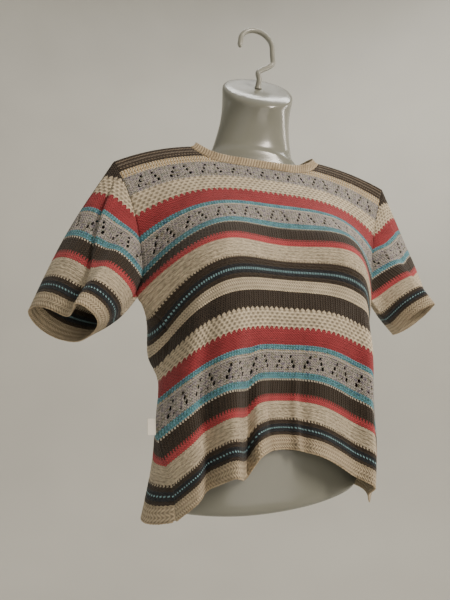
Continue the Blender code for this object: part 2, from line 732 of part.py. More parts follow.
def make_form(pieces):
    """Smooth closed torso: bottom, body rings, neck and slanted cap."""
    tree = cloth_tree(pieces)
    rings = []
    for inset, lift in ((0.016, 0.0), (0.005, 0.003), (0.0, 0.012)):
        ring = []
        for k in range(FORM_SIDES):
            x, y = form_ring(FORM_X[0] - inset, FORM_FRONT[0] - inset, FORM_BACK[0] - inset,
                             FORM_MIDDLE, 2 * math.pi * k / FORM_SIDES)
            base, tilt, rise = FORM_BOTTOM
            ring.append((x, y, base + tilt * x + rise * x * x + lift))
        rings.append(ring)
    for z, half_x, front, back in zip(FORM_Z, FORM_X, FORM_FRONT, FORM_BACK):
        ring = []
        for k in range(FORM_SIDES):
            x, y = form_ring(half_x, front, back, FORM_MIDDLE, 2 * math.pi * k / FORM_SIDES)
            if y < FORM_MIDDLE:
                share = min(1.0, (FORM_MIDDLE - y) / front)
                y -= form_bust(x, z) * share ** 2
            x += NECK_OFFSET * min(max((z + 0.29) / 0.03, 0.0), 1.0)
            ring.append(tuck_in((x, y, z), tree) if z < NECK_FREE_Z else (x, y, z))
        rings.append(ring)
    neck = [(k / NECK_RINGS, 0.0, 0.011) for k in range(NECK_RINGS + 1)]
    neck += [(1.0, 0.0022, 0.005), (1.0, 0.007, 0.0014), (1.0, 0.015, 0.0)]
    for up, inset, lower in neck:
        half_x = 0.072 - 0.009 * up - 0.007 * math.sin(math.pi * up) - inset
        deep = 0.040 + 0.010 * up - inset
        middle = 0.018 - 0.016 * up
        ring = []
        for i in range(FORM_SIDES):
            angle = 2 * math.pi * i / FORM_SIDES
            x = half_x * math.cos(angle) + NECK_OFFSET * (1 - up)
            y = middle + deep * math.sin(angle)
            cap = CAP_HEIGHT + CAP_SLOPE * y + CAP_TILT * x - lower
            ring.append((x, y, NECK_BASE_Z * (1 - up) + cap * up))
        rings.append(ring)
    verts = [v for ring in rings for v in ring]
    faces = []
    for r in range(len(rings) - 1):
        for k in range(FORM_SIDES):
            a = r * FORM_SIDES + k
            b = r * FORM_SIDES + (k + 1) % FORM_SIDES
            c, d = b + FORM_SIDES, a + FORM_SIDES
            faces.append((a, b, c))
            faces.append((a, c, d))
    bottom = len(verts)
    verts.append((0.0, FORM_MIDDLE, FORM_BOTTOM[0]))
    verts.append((0.0, 0.002, CAP_HEIGHT + CAP_SLOPE * 0.002))
    last = (len(rings) - 1) * FORM_SIDES
    for k in range(FORM_SIDES):
        nxt = (k + 1) % FORM_SIDES
        faces.append((bottom, nxt, k))
        faces.append((bottom + 1, last + k, last + nxt))
    add_object("torso_form", np.array(verts), faces, COLOURS["form"], 0.3)


def hook_path():
    """Middle line of the hook, from the neck cap to the tip."""
    normal = Vector((-CAP_TILT, -CAP_SLOPE, 1.0)).normalized()
    base = Vector((0.0, 0.0, CAP_HEIGHT)) + normal * 0.0004
    path = [base, base + normal * 0.005]
    guide = [(0.000, -0.0068, -0.103), (-0.001, -0.0070, -0.096), (-0.001, -0.0050, -0.088),
             (0.003, -0.0030, -0.081), (0.012, -0.0015, -0.0735), (0.022, 0.0, -0.0655),
             (0.0285, 0.0, -0.0595), (0.0305, 0.0, -0.0525), (0.0300, 0.0, -0.040)]
    path += [Vector(p) for p in guide]
    drop = -(HOOK_BEND - HOOK_RADIUS)
    for k in range(13):
        angle = math.pi * k / 12
        path.append(Vector((HOOK_BEND * math.cos(angle), 0.0, drop + HOOK_BEND * math.sin(angle))))
    path.append(Vector((-0.0310, 0.0, drop - 0.006)))
    path.append(Vector((-0.0305, 0.0, drop - 0.0125)))
    return path


def make_hook():
    curve = bpy.data.curves.new("hook", "CURVE")
    curve.dimensions = "3D"
    curve.bevel_depth = HOOK_RADIUS
    curve.bevel_resolution = 3
    curve.use_fill_caps = True
    curve.twist_mode = "MINIMUM"
    path = hook_path()
    spline = curve.splines.new("POLY")
    spline.points.add(len(path) - 1)
    for point, place in zip(spline.points, path):
        point.co = (*place, 1.0)
    material = bpy.data.materials.new("hook")
    material.use_nodes = True
    shader = material.node_tree.nodes["Principled BSDF"]
    shader.inputs["Base Color"].default_value = (*COLOURS["hook"], 1.0)
    shader.inputs["Roughness"].default_value = 0.35
    curve.materials.append(material)
    obj = bpy.data.objects.new("hook", curve)
    bpy.context.scene.collection.objects.link(obj)


def main():
    for obj in list(bpy.data.objects):
        bpy.data.objects.remove(obj, do_unlink=True)
    pieces = make_cloth()
    make_neckband(pieces["front_panel"], pieces["back_panel"])
    make_label(pieces["front_panel"])
    make_form(pieces)
    make_hook()


main()
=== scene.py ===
"""Looks of the cropped striped knit top on its hanging torso form."""

import math

import bmesh
import bpy
import numpy as np
from mathutils import Matrix, Vector
from mathutils.geometry import delaunay_2d_cdt


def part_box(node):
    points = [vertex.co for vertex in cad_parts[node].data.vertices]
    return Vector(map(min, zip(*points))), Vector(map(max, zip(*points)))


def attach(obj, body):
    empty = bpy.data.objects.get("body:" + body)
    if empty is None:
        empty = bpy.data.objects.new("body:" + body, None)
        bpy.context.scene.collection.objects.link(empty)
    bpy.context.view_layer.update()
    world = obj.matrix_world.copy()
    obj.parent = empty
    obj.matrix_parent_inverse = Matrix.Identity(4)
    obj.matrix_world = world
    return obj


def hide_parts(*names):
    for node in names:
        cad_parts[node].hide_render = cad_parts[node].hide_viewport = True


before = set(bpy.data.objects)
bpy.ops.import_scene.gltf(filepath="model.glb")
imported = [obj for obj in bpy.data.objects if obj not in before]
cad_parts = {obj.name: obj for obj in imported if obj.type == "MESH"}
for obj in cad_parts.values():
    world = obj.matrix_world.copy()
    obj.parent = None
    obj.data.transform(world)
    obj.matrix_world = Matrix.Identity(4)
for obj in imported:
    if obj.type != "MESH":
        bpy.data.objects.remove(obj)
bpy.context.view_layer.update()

# Camera of the photograph, in a frame 450 by 600
FRAME_HIGH = 600.0
FOCAL = 520.0
VIEW_AZIMUTH = -18.27
VIEW_ELEVATION = -14.67
VIEW_ROLL = -0.76
VIEW_DISTANCE = 0.7736
VIEW_CENTRE = (0.0, -0.028, -0.4972)
VIEW_SIDE = -0.0703

# Cloth
CLOTH = 0.0024
GAP = 0.0004
STITCH = 0.004          # width of a stitch
STITCH_TALL = 0.0034    # height of its V
SEED_PAIR = 0.008       # a pit and a bump of the seed stitch
RIDGE = 0.0052          # garter ridge, and row of the seed stitch
BRAID_ROW = 0.0056      # height of a row of slanted stitches
BRAID_STITCH = 0.0036   # width of a slanted stitch
ACROSS = SEED_PAIR / 3  # spacing of the points across
DOWN = RIDGE / 3        # spacing of the points down
LENGTH = 0.5155
UNDERARM = 0.2005
HALF_WIDTH = 0.205

# Body sections, one column for each level down the cloth
LEVELS = (0.0, 0.09, 0.20, 0.26, 0.335, 0.41, 0.46, LENGTH)
SIDE_X = (0.238, 0.204, 0.173, 0.153, 0.159, 0.164, 0.149, 0.142)
SIDE_Y = (-0.009, -0.007, 0.007, -0.005, -0.009, -0.011, -0.017, -0.024)
FRONT_Y = (-0.019, -0.046, -0.074, -0.082, -0.087, -0.070, -0.065, -0.074)
FRONT_Z = (-0.251, -0.333, -0.429, -0.484, -0.551, -0.618, -0.661, -0.710)
SIDE_DROP = (0.048, 0.046, 0.078, 0.065, 0.064, 0.081, 0.084, 0.086)
DEPTH_POWER = (1.7, 2.4, 3.1, 3.4, 3.8, 3.8, 3.5, 2.9)
DROP_POWER = (2.5, 2.5, 2.7, 2.5, 1.9, 1.7, 1.4, 1.2)
FRONT_SWELL = (0.0, 0.002, 0.007, 0.013, 0.011, 0.006, 0.008, 0.011)
# What the wearer's left side adds to the columns above
LEFT_X = (-0.022, -0.006, 0.004, 0.017, 0.009, 0.001, 0.013, -0.004)
LEFT_Y = (-0.012, -0.005, -0.021, -0.001, 0.0, -0.008, 0.002, -0.006)
LEFT_DROP = (-0.014, -0.012, -0.023, -0.001, 0.005, -0.001, -0.003, -0.010)

BACK_LEVELS = (0.0, 0.045, 0.09, 0.14, 0.20, 0.26, 0.335, 0.41, 0.46, LENGTH)
BACK_Y = (-0.014, 0.042, 0.080, 0.091, 0.093, 0.091, 0.088, 0.088, 0.089, 0.091)
BACK_Z = (-0.249, -0.252, -0.282, -0.340, -0.410, -0.478, -0.558, -0.640, -0.694, -0.752)
BACK_SWELL = (0.0, 0.0, 0.004, 0.010, 0.030, 0.044, 0.026, 0.030, 0.046, 0.060)
BACK_POWER = 2.9
# How the empty side of the back sags and flares behind the wearer's right seam
BACK_SAG = (0.0, 0.0, 0.0, 0.0, 0.010, 0.044, 0.020, 0.010, 0.014, 0.022)
BACK_FLARE = (0.0, 0.0, 0.0, -0.006, -0.010, 0.010, 0.002, -0.002, 0.003, 0.008)
SAG_WIDTH = 0.66
ARMHOLE_BOW = 0.042     # how far the back of the armhole bows to the rear
UNDERARM_PULL = (0.201, 0.030, 0.023, 0.008)    # right underarm: level, reach, outward, upward

# Swell over the chest: distance from the middle, level, spread across, spread down, rise
BUST = (0.102, 0.202, 0.056, 0.062, 0.028)
# Hanging folds of the front: place across at the start and at the hem, width, start level, rise at the hem
FOLDS = ((-0.64, -0.67, 0.083, 0.223, -0.024),
         (-0.41, -0.44, 0.089, 0.290, 0.020),
         (0.00, -0.02, 0.216, 0.274, -0.027),
         (0.27, 0.26, 0.104, 0.285, 0.004),
         (0.65, 0.73, 0.106, 0.210, 0.032),
         (0.09, 0.10, 0.022, 0.350, 0.006),
         (0.15, 0.16, 0.032, 0.350, -0.004),
         (-0.12, -0.10, 0.030, 0.370, -0.004))
# Deep fold by the wearer's right seam: where it starts and turns, start level, depth, drop, softness
DEEP_FOLD = (-0.53, -0.30, 0.345, -0.030, 0.021, 0.050)

NECK_SHIFT = -0.035         # middle of the neckline and half its width, in half widths of the panel
NECK_HALF = 0.485
FRONT_NECK = (0.036, 5.0)   # depth and squareness
BACK_NECK = (0.074, 4.5)
NECKBAND_HEIGHT = 0.014
RIB = 0.0045

SLEEVE_LENGTH = 0.2355
CAP_LAG = 0.037         # how much higher the sleeve's cap ends than the armhole
SLEEVE_ROUND = 0.36     # rectangle in which a sleeve is cut: round the arm, and down it
SLEEVE_TALL = 0.165
# Crease down the front of each empty sleeve: place at the armhole, shift by the cuff, ridge, valley, step
CREASE = (0.05, 0.215, 0.008, 0.005, 0.006)
# Rim of the wearer's right cuff, and the turn round the sleeve of each of its points
CUFF_RIM = ((-0.341, 0.052, -0.516), (-0.312, 0.010, -0.522), (-0.288, -0.010, -0.534),
            (-0.282, -0.038, -0.526), (-0.252, -0.028, -0.540), (-0.259, 0.022, -0.556),
            (-0.275, 0.066, -0.556), (-0.299, 0.083, -0.549), (-0.327, 0.078, -0.534))
CUFF_TURN = (0.0, 0.125, 0.20, 0.265, 0.375, 0.50, 0.625, 0.75, 0.88)
LEFT_CUFF_RISE = 0.037
SLEEVE_PATTERN = LENGTH - SLEEVE_LENGTH   # level of the pattern where a sleeve starts

# Relief of the knitting above and below the middle of the cloth
GARTER_RELIEF = 0.00022
SEED_RELIEF = 0.0009
STRAND_RELIEF = 0.00025
GROOVE = (0.0005, 0.0016)       # depth and width of the groove where a band of knitting starts
SEAM_DIP = (0.0007, 0.0025)     # depth and width of the dip along a seam

# Lace: levels, repeat across, and the eyelets of one repeat: place across, place down, width, height
BODY_LACE = (0.032, 0.126, 0.369)
SLEEVE_LACE = (0.089,)
LACE_REPEAT = 0.044
EYELETS = ((0.0117, 0.0145, 0.0040, 0.0060), (0.0087, 0.0215, 0.0042, 0.0062),
           (0.0147, 0.0075, 0.0034, 0.0050), (0.0170, 0.0235, 0.0026, 0.0034))
EYELET_SIDES = 8
EYELET_CLEAR = 0.0055   # least distance of an eyelet's middle from the edge of the piece
NECK_CLEAR = 0.0016     # the same for the points that fill a piece, from the neckline

# Stripes from the shoulder down: level in mm, yarn, and the yarn of every other stitch where it differs
STRIPES = ((0.0, "brown"), (2.5, "taupe"), (5.0, "brown"), (8.0, "grey_brown"), (10.5, "brown"),
           (13.5, "taupe", "brown"), (16.0, "brown"), (20.0, "cream", "ochre"), (32.0, "lace"),
           (62.0, "cream"), (91.0, "red"), (116.0, "blue", "teal"), (124.0, "cream", "lace"),
           (126.5, "lace"), (156.0, "blue", "teal"), (163.5, "teal", "blue"), (165.5, "white", "brown"),
           (168.0, "brown"), (188.5, "pink", "brown"), (192.5, "pink"), (200.5, "cream"),
           (226.5, "cream", "brown"), (229.0, "brown"), (239.0, "blue_black"),
           (244.0, "pale_blue", "blue_black"), (246.5, "blue_black"), (251.5, "brown"), (259.5, "cream"),
           (278.0, "brown"), (305.0, "cream"), (334.0, "red"), (359.0, "blue", "teal"),
           (366.5, "cream", "lace"), (369.0, "lace"), (399.0, "blue", "teal"), (406.5, "teal", "blue"),
           (408.5, "white", "brown"), (411.0, "brown"), (431.5, "pink", "brown"), (435.5, "pink"),
           (443.5, "cream"), (469.5, "cream", "brown"), (472.0, "brown"), (478.0, "blue_black"),
           (483.0, "pale_blue", "blue_black"), (485.5, "blue_black"), (490.0, "brown"), (495.5, "ecru"))
SPLIT = 259.5           # level in mm where the second colour ramp takes over
BRAIDS = (20.0, 32.0, 259.5, 278.0, 495.5)   # bands of slanted stitches, start and end in mm, to the hem
# Levels between which the seed stitch doesn't and does end in points
POINTED = (0.0, 0.086, 0.0965, 0.298, 0.312, 0.329, 0.3395)
# Levels of the shallow grooves where one band of knitting ends and the next starts
BAND_STARTS = (0.0, 0.032, 0.062, 0.116, 0.168, 0.2005, 0.2265, 0.2595, 0.305, 0.359, 0.411, 0.4435, 0.4695)
# Kinds of knitting: level in mm, garter ridges, seed pits, open vertical work
KNITTING = ((0.0, 0.6, 0.0, 0.0), (20.0, 0.0, 0.0, 0.0), (32.0, 0.0, 0.0, 0.5), (62.0, 0.0, 1.0, 0.0),
            (91.0, 0.35, 0.0, 0.0), (126.5, 0.0, 0.0, 0.5), (156.0, 0.3, 0.0, 0.3), (168.0, 0.0, 0.0, 1.0),
            (188.5, 0.0, 0.0, 0.4), (200.5, 1.0, 0.0, 0.0), (226.5, 0.8, 0.0, 0.0), (259.5, 0.0, 0.0, 0.0),
            (278.0, 0.0, 0.0, 1.0), (305.0, 0.0, 1.0, 0.0), (334.0, 0.35, 0.0, 0.0), (369.0, 0.0, 0.0, 0.5),
            (399.0, 0.3, 0.0, 0.3), (411.0, 0.0, 0.0, 1.0), (431.5, 0.0, 0.0, 0.4), (443.5, 1.0, 0.0, 0.0),
            (469.5, 0.8, 0.0, 0.0), (495.5, 0.0, 0.0, 0.0))
YARN = {"cream": "#cabca4", "ecru": "#beae94", "ochre": "#c2a880", "lace": "#b4afac", "red": "#9e3a40",
        "pink": "#bc4b50", "blue": "#72adc4", "teal": "#528f97", "white": "#d2c9b8", "brown": "#3d332a",
        "taupe": "#776a5b", "grey_brown": "#6b6156", "blue_black": "#252a30", "pale_blue": "#8fb6bf"}
WHITE, BLACK = (1, 1, 1, 1), (0, 0, 0, 1)   # on and off, in the ramps that choose the rows

# Moulded hook, from its foot to where its bend starts
HOOK_RADIUS = 0.0045
HOOK_BEND = 0.030
HOOK_BASE = ((0.0000, 0.0000, -0.1150), (-0.0004, -0.0040, -0.1085), (0.0000, -0.0068, -0.1030),
             (-0.0010, -0.0070, -0.0960), (-0.0010, -0.0050, -0.0880), (0.0030, -0.0030, -0.0810),
             (0.0120, -0.0015, -0.0735), (0.0220, 0.0, -0.0655), (0.0285, 0.0, -0.0595),
             (0.0305, 0.0, -0.0525), (0.0300, 0.0, -0.0400))

# Neckband across its thickness: place out and in, in cloth thicknesses, and share of its height
BAND_PROFILE = ((0.30, 0.00), (0.62, 0.10), (0.78, 0.28), (0.84, 0.46), (0.92, 0.64), (0.95, 0.80),
                (0.80, 0.93), (0.40, 1.00), (-0.10, 1.00), (-0.45, 0.93), (-0.60, 0.78), (-0.58, 0.50),
                (-0.52, 0.25), (-0.40, 0.00))
RIB_POINTS = 8

# Cast-off stitches: length and yarn radius
HEM_STITCH = (0.0052, 0.0012)
CUFF_STITCH = (0.0048, 0.0011)

# Room: radius and height of its rings, from the middle of the floor
ROOM = ((0.0, -1.75), (1.0, -1.75), (2.4, -1.75), (3.1, -1.62), (3.6, -1.30), (3.95, -0.8), (4.15, 0.0),
        (4.25, 1.2), (4.3, 3.0), (4.3, 5.5))
ROOM_SIDES = 64


# Curves and surfaces of the cloth

def unit(vectors):
    """Rows of directions, each one long."""
    return vectors / np.linalg.norm(vectors, axis=1)[:, None]


def natural_spline(knots, values):
    """Smooth curve through the values, straight at its two ends, for arrays of places."""
    x = np.asarray(knots, float)
    y = np.asarray(values, float)
    n = len(x)
    h = np.diff(x)
    rows = np.zeros((n, n))
    right = np.zeros(n)
    rows[0, 0] = 1.0
    rows[-1, -1] = 1.0
    for i in range(1, n - 1):
        rows[i, i - 1] = h[i - 1]
        rows[i, i] = 2.0 * (h[i - 1] + h[i])
        rows[i, i + 1] = h[i]
        right[i] = 6.0 * ((y[i + 1] - y[i]) / h[i] - (y[i] - y[i - 1]) / h[i - 1])
    bend = np.linalg.solve(rows, right)

    def curve(at):
        at = np.asarray(at, float)
        i = np.clip(np.searchsorted(x, at, side="right") - 1, 0, n - 2)
        a = (x[i + 1] - at) / h[i]
        b = (at - x[i]) / h[i]
        curved = ((a ** 3 - a) * bend[i] + (b ** 3 - b) * bend[i + 1]) * h[i] ** 2 / 6.0
        return a * y[i] + b * y[i + 1] + curved

    return curve


COLUMN = {name: natural_spline(LEVELS, values) for name, values in (
    ("side_x", SIDE_X), ("side_y", SIDE_Y), ("front_y", FRONT_Y), ("front_z", FRONT_Z), ("drop", SIDE_DROP),
    ("depth_power", DEPTH_POWER), ("drop_power", DROP_POWER), ("swell", FRONT_SWELL), ("left_x", LEFT_X),
    ("left_y", LEFT_Y), ("left_drop", LEFT_DROP))}
BACK_COLUMN = {name: natural_spline(BACK_LEVELS, values) for name, values in (
    ("y", BACK_Y), ("z", BACK_Z), ("swell", BACK_SWELL), ("sag", BACK_SAG), ("flare", BACK_FLARE))}


def rounded(t):
    """Distance from the middle, 0 to 1, with no corner at the middle."""
    soft = 0.12
    return (np.sqrt(t * t + soft * soft) - soft) / (math.sqrt(1.0 + soft * soft) - soft)


def front_point(t, v):
    """Front panel: t from -1 (wearer's right seam) to 1, v down the cloth."""
    t, v = np.broadcast_arrays(np.asarray(t, float), np.asarray(v, float))
    left = 0.5 * (1.0 + np.tanh(t / 0.15))
    across = rounded(t)
    side_x = COLUMN["side_x"](v) + COLUMN["left_x"](v) * left
    side_y = COLUMN["side_y"](v) + COLUMN["left_y"](v) * left
    drop = COLUMN["drop"](v) + COLUMN["left_drop"](v) * left
    front_y = COLUMN["front_y"](v)
    x = side_x * t + COLUMN["swell"](v) * np.sin(np.pi * t)
    y = front_y + (side_y - front_y) * across ** COLUMN["depth_power"](v)
    z = COLUMN["front_z"](v) - drop * across ** COLUMN["drop_power"](v)
    bust_x, bust_level, wide, tall, rise = BUST
    y = y - rise * np.exp(-((np.abs(x) - bust_x) / wide) ** 2 - ((v - bust_level) / tall) ** 2)
    for start, end, width, level, amount in FOLDS:
        grown = np.clip((v - level) / (LENGTH - level), 0.0, 1.0)
        place = start + (end - start) * grown
        y = y - amount * grown * np.exp(-((t - place) / width) ** 2)
    start, turn, level, depth, fall, soft = DEEP_FOLD
    grown = np.clip((v - level) / (LENGTH - level), 0.0, 1.0)
    ramp = np.clip((t - start) / (turn - start), 0.0, 1.0)
    after = np.exp(-(np.maximum(t - turn, 0.0) / soft) ** 2)
    shape = np.where(t < turn, ramp * ramp * (3.0 - 2.0 * ramp), after)
    y = y - depth * grown * shape
    z = z - fall * grown * shape
    level, reach, outward, upward = UNDERARM_PULL
    pull = (1.0 - left) * across ** 2 * np.exp(-((v - level) / reach) ** 2)
    return np.stack((x - outward * pull, y, z + upward * pull), -1)


def back_edge(side, v):
    """Edge of the back panel: the side seam, and above it the back of the armhole."""
    edge = front_point(side, v)
    bow = np.sin(np.pi * np.clip(v / UNDERARM, 0.0, 1.0)) ** 0.85
    return edge + np.stack((-side * 0.010 * bow, ARMHOLE_BOW * bow, 0.014 * bow), -1)


def back_plain(t, v):
    """Back panel without its folds and before it is brought to the shoulder seam."""
    side = np.where(t < 0, -1.0, 1.0)
    edge = back_edge(side, v)
    across = rounded(t)
    x = np.abs(edge[..., 0]) * t + BACK_COLUMN["swell"](v) * side * np.sin(np.pi * t * t)
    y = BACK_COLUMN["y"](v) + (edge[..., 1] - BACK_COLUMN["y"](v)) * across ** BACK_POWER
    z = BACK_COLUMN["z"](v) + (edge[..., 2] - BACK_COLUMN["z"](v)) * across ** 2.2
    near = np.clip((1.0 - np.abs(t)) / SAG_WIDTH, 0.0, 1.0)
    share = 6.75 * near * (1.0 - near) ** 2 * (t < 0)
    return np.stack((x - BACK_COLUMN["flare"](v) * share, y, z - BACK_COLUMN["sag"](v) * share), -1)


def back_point(t, v):
    """Back panel: it starts on the shoulder seam and shares the side seams."""
    t, v = np.broadcast_arrays(np.asarray(t, float), np.asarray(v, float))
    share = np.clip(1.0 - v / 0.06, 0.0, 2.0) ** 2
    at_seam = front_point(t, 0.0 * v) - back_plain(t, 0.0 * v)
    folds = small_folds(t, v)[..., None] * np.array((0.0, 1.0, 0.0))
    return back_plain(t, v) + at_seam * share[..., None] + folds


def small_folds(t, v):
    """Soft hanging folds of the back, which grow from the shoulder blades to the hem."""
    grown = np.clip((v - 0.24) / (LENGTH - 0.24), 0.0, 1.0) ** 1.3
    total = 0.0
    for place, width, amount in ((-0.45, 0.10, 0.005), (-0.05, 0.13, -0.004), (0.38, 0.09, 0.005)):
        total = total + amount * np.exp(-((t - place) / width) ** 2)
    return total * grown


def closed_spline(turns, points):
    """Smooth closed curve through the points, read at a turn of 0 to 1."""
    times = [turn - 1.0 for turn in turns] + list(turns) + [turn + 1.0 for turn in turns]
    axes = [natural_spline(times, [p[i] for p in points] * 3) for i in range(3)]
    return lambda turn: np.stack([axis(turn) for axis in axes], -1)


RIGHT_CUFF = closed_spline(CUFF_TURN, CUFF_RIM)


def cuff_point(side, turn):
    """Point on the rim of a cuff; the wearer's left one is mirrored and a little higher."""
    point = RIGHT_CUFF(turn)
    if side > 0:
        point = point * np.array((-1.0, 1.0, 1.0)) + np.array((0.0, 0.0, LEFT_CUFF_RISE))
    return point


def armhole_level(turn):
    """Level on the panels that meets the sleeve at this turn."""
    return UNDERARM * 2.0 * np.minimum(turn, 1.0 - turn)


def cap_level(turn):
    """Level on the sleeve where its cap ends, 0 at the shoulder."""
    v = armhole_level(turn)
    part = np.clip(v / 0.1, 0.0, 1.0)
    return v - CAP_LAG * part * part * (3.0 - 2.0 * part)


def sleeve_point(side, x, y):
    """Point of a sleeve from its rectangle: x by the turn round it, y by the share of its length."""
    turn = np.asarray(x, float) / SLEEVE_ROUND
    down = np.asarray(y, float) / SLEEVE_TALL
    v = armhole_level(turn)
    arm = np.where((turn <= 0.5)[..., None], front_point(float(side), v), back_edge(float(side), v))
    point = arm * (1.0 - down)[..., None] + cuff_point(side, turn) * down[..., None]
    belly = np.sin(np.pi * down)
    outward = np.cos(2.0 * np.pi * turn)
    forward = np.sin(2.0 * np.pi * turn)
    point = point + np.stack((side * 0.006 * belly * outward, -0.012 * belly * forward,
                              0.004 * belly * outward), -1)
    start, shift, ridge, valley, step = CREASE
    past = (turn - start - shift * down + 0.5) % 1.0 - 0.5
    near = 0.5 + 0.5 * np.tanh(past / 0.007)
    grown = np.clip(down / 0.25, 0.0, 1.0) * (1.0 - 0.55 * down) * (1.0 if side < 0 else 0.5)
    behind = (1.0 - near) * np.exp(np.minimum(past, 0.0) / 0.05)
    out = grown * (ridge * near * np.exp(-np.maximum(past, 0.0) / 0.09) - valley * behind)
    return point + np.stack((side * 0.5 * out, -0.8 * out, -step * grown * behind), -1)


def sleeve_level(x, y):
    """Level down the sleeve's own cloth of a place in its rectangle."""
    start = cap_level(x / SLEEVE_ROUND)
    return start + (SLEEVE_LENGTH - start) * y / SLEEVE_TALL


def neck_level(t, neck):
    """Level of the neckline, 0 where it meets the shoulder seam."""
    place = np.minimum(np.abs((t - NECK_SHIFT) / NECK_HALF), 1.0)
    return neck[0] * (1.0 - place ** neck[1])


# Low relief of the knitting

def band_value(level, column):
    """Value of a column of the table of knitting at each level."""
    starts = np.array([row[0] for row in KNITTING]) / 1000.0
    values = np.array([row[column] for row in KNITTING])
    return values[np.clip(np.searchsorted(starts, level, side="right") - 1, 0, len(values) - 1)]


def relief(u, level):
    """Height of the stitches above the middle of the knit, in metres."""
    garter = np.cos(2 * np.pi * level / RIDGE) * GARTER_RELIEF
    shift = np.pi * np.floor(level / RIDGE)
    seed = (np.cos(2 * np.pi * u / SEED_PAIR + shift) * 0.5 + 0.5) * SEED_RELIEF - 0.0002
    strands = np.cos(2 * np.pi * u / SEED_PAIR) * STRAND_RELIEF
    height = garter * band_value(level, 1) + seed * band_value(level, 2) + strands * band_value(level, 3)
    for start in BAND_STARTS:
        height = height - GROOVE[0] * np.exp(-((level - start) / GROOVE[1]) ** 2)
    return height


# Cut pieces

def even(start, end, spacing):
    """Evenly spaced places from start to end, about the spacing apart."""
    count = max(2, int(round(abs(end - start) / spacing)))
    return np.linspace(start, end, count + 1)


ARMHOLE_LEVELS = even(0.0, UNDERARM, DOWN)
SEAM_LEVELS = even(UNDERARM, LENGTH, DOWN)
NECK_STEPS = 90


def panel_outline(neck, armhole_name):
    """Corners of a body panel in the flat, with the seam name of each."""
    outline = []
    for i, v in enumerate(ARMHOLE_LEVELS[:-1]):
        outline.append((-HALF_WIDTH, v, (armhole_name, -1, i) if i else ("shoulder end", -1)))
    for i, v in enumerate(SEAM_LEVELS):
        outline.append((-HALF_WIDTH, v, ("side", -1, i) if i else ("underarm", -1)))
    for x in even(-HALF_WIDTH, HALF_WIDTH, ACROSS)[1:-1]:
        outline.append((x, LENGTH, None))
    for i, v in reversed(list(enumerate(SEAM_LEVELS))):
        outline.append((HALF_WIDTH, v, ("side", 1, i) if i else ("underarm", 1)))
    for i, v in reversed(list(enumerate(ARMHOLE_LEVELS[:-1]))):
        outline.append((HALF_WIDTH, v, (armhole_name, 1, i) if i else ("shoulder end", 1)))
    ends = NECK_SHIFT + NECK_HALF, NECK_SHIFT - NECK_HALF
    for i, t in enumerate(even(1.0, ends[0], ACROSS / HALF_WIDTH)[1:-1]):
        outline.append((t * HALF_WIDTH, 0.0, ("shoulder", 1, i)))
    for i in range(NECK_STEPS + 1):
        t = NECK_SHIFT + NECK_HALF * math.cos(math.pi * i / NECK_STEPS)
        name = ("neck end", 1) if i == 0 else ("neck end", -1) if i == NECK_STEPS else ("neck", neck[0], i)
        outline.append((t * HALF_WIDTH, float(neck_level(t, neck)), name))
    for i, t in enumerate(even(ends[1], -1.0, ACROSS / HALF_WIDTH)[1:-1]):
        outline.append((t * HALF_WIDTH, 0.0, ("shoulder", -1, i)))
    return outline


def sleeve_outline(side, is_front):
    """Corners of half a sleeve in its rectangle, with the seam name of each."""
    armhole_name = "armhole" if is_front else "back armhole"
    turns = 0.5 * ARMHOLE_LEVELS / UNDERARM
    if not is_front:
        turns = 1.0 - turns
    outline = []
    for i, turn in enumerate(turns):
        name = (armhole_name, side, i)
        if i == 0:
            name = ("shoulder end", side)
        if i == len(turns) - 1:
            name = ("underarm", side)
        outline.append((turn * SLEEVE_ROUND, 0.0, name))
    levels = even(0.0, SLEEVE_TALL, DOWN)
    for i, y in enumerate(levels[1:]):
        outline.append((turns[-1] * SLEEVE_ROUND, y, ("under sleeve", side, i)))
    for x in even(turns[-1] * SLEEVE_ROUND, turns[0] * SLEEVE_ROUND, ACROSS)[1:-1]:
        outline.append((x, SLEEVE_TALL, None))
    for i, y in reversed(list(enumerate(levels[1:]))):
        outline.append((turns[0] * SLEEVE_ROUND, y, ("top sleeve", side, i)))
    return outline


def eyelet_loops(outline, bands, flat_of):
    """Oval loops of the lace eyelets that lie inside the piece, clear of its edge."""
    xs = [x for x, _, _ in outline]
    ys = [y for _, y, _ in outline]
    edge = np.array([(x, y) for x, y, _ in outline])
    loops = []
    for level in bands:
        for k in range(int(min(xs) // LACE_REPEAT), int(max(xs) // LACE_REPEAT) + 1):
            for dx, dv, wide, tall in EYELETS:
                for side in (-1, 1):
                    x, v = (k + 0.5) * LACE_REPEAT + side * dx, level + dv
                    if not min(xs) + 0.006 < x < max(xs) - 0.006:
                        continue
                    loop = []
                    for i in range(EYELET_SIDES):
                        a = 2 * math.pi * (i + 0.5) / EYELET_SIDES
                        loop.append(flat_of(x + 0.5 * wide * math.cos(a), v + 0.5 * tall * math.sin(a)))
                    loop = np.array(loop, float)
                    middle = loop.mean(0)
                    far = np.min(np.linalg.norm(edge - middle, axis=1)) > EYELET_CLEAR
                    if far and min(ys) < middle[1] < max(ys) and inside(middle, edge):
                        loops.append(loop)
    return loops


def inside(point, loop):
    """True where the flat point lies inside the closed loop."""
    x, y = point
    x0, y0 = loop[:, 0], loop[:, 1]
    x1, y1 = np.roll(x0, 1), np.roll(y0, 1)
    span = np.where(y1 == y0, 1e-12, y1 - y0)
    crosses = ((y0 > y) != (y1 > y)) & (x < (x1 - x0) * (y - y0) / span + x0)
    return bool(crosses.sum() % 2)


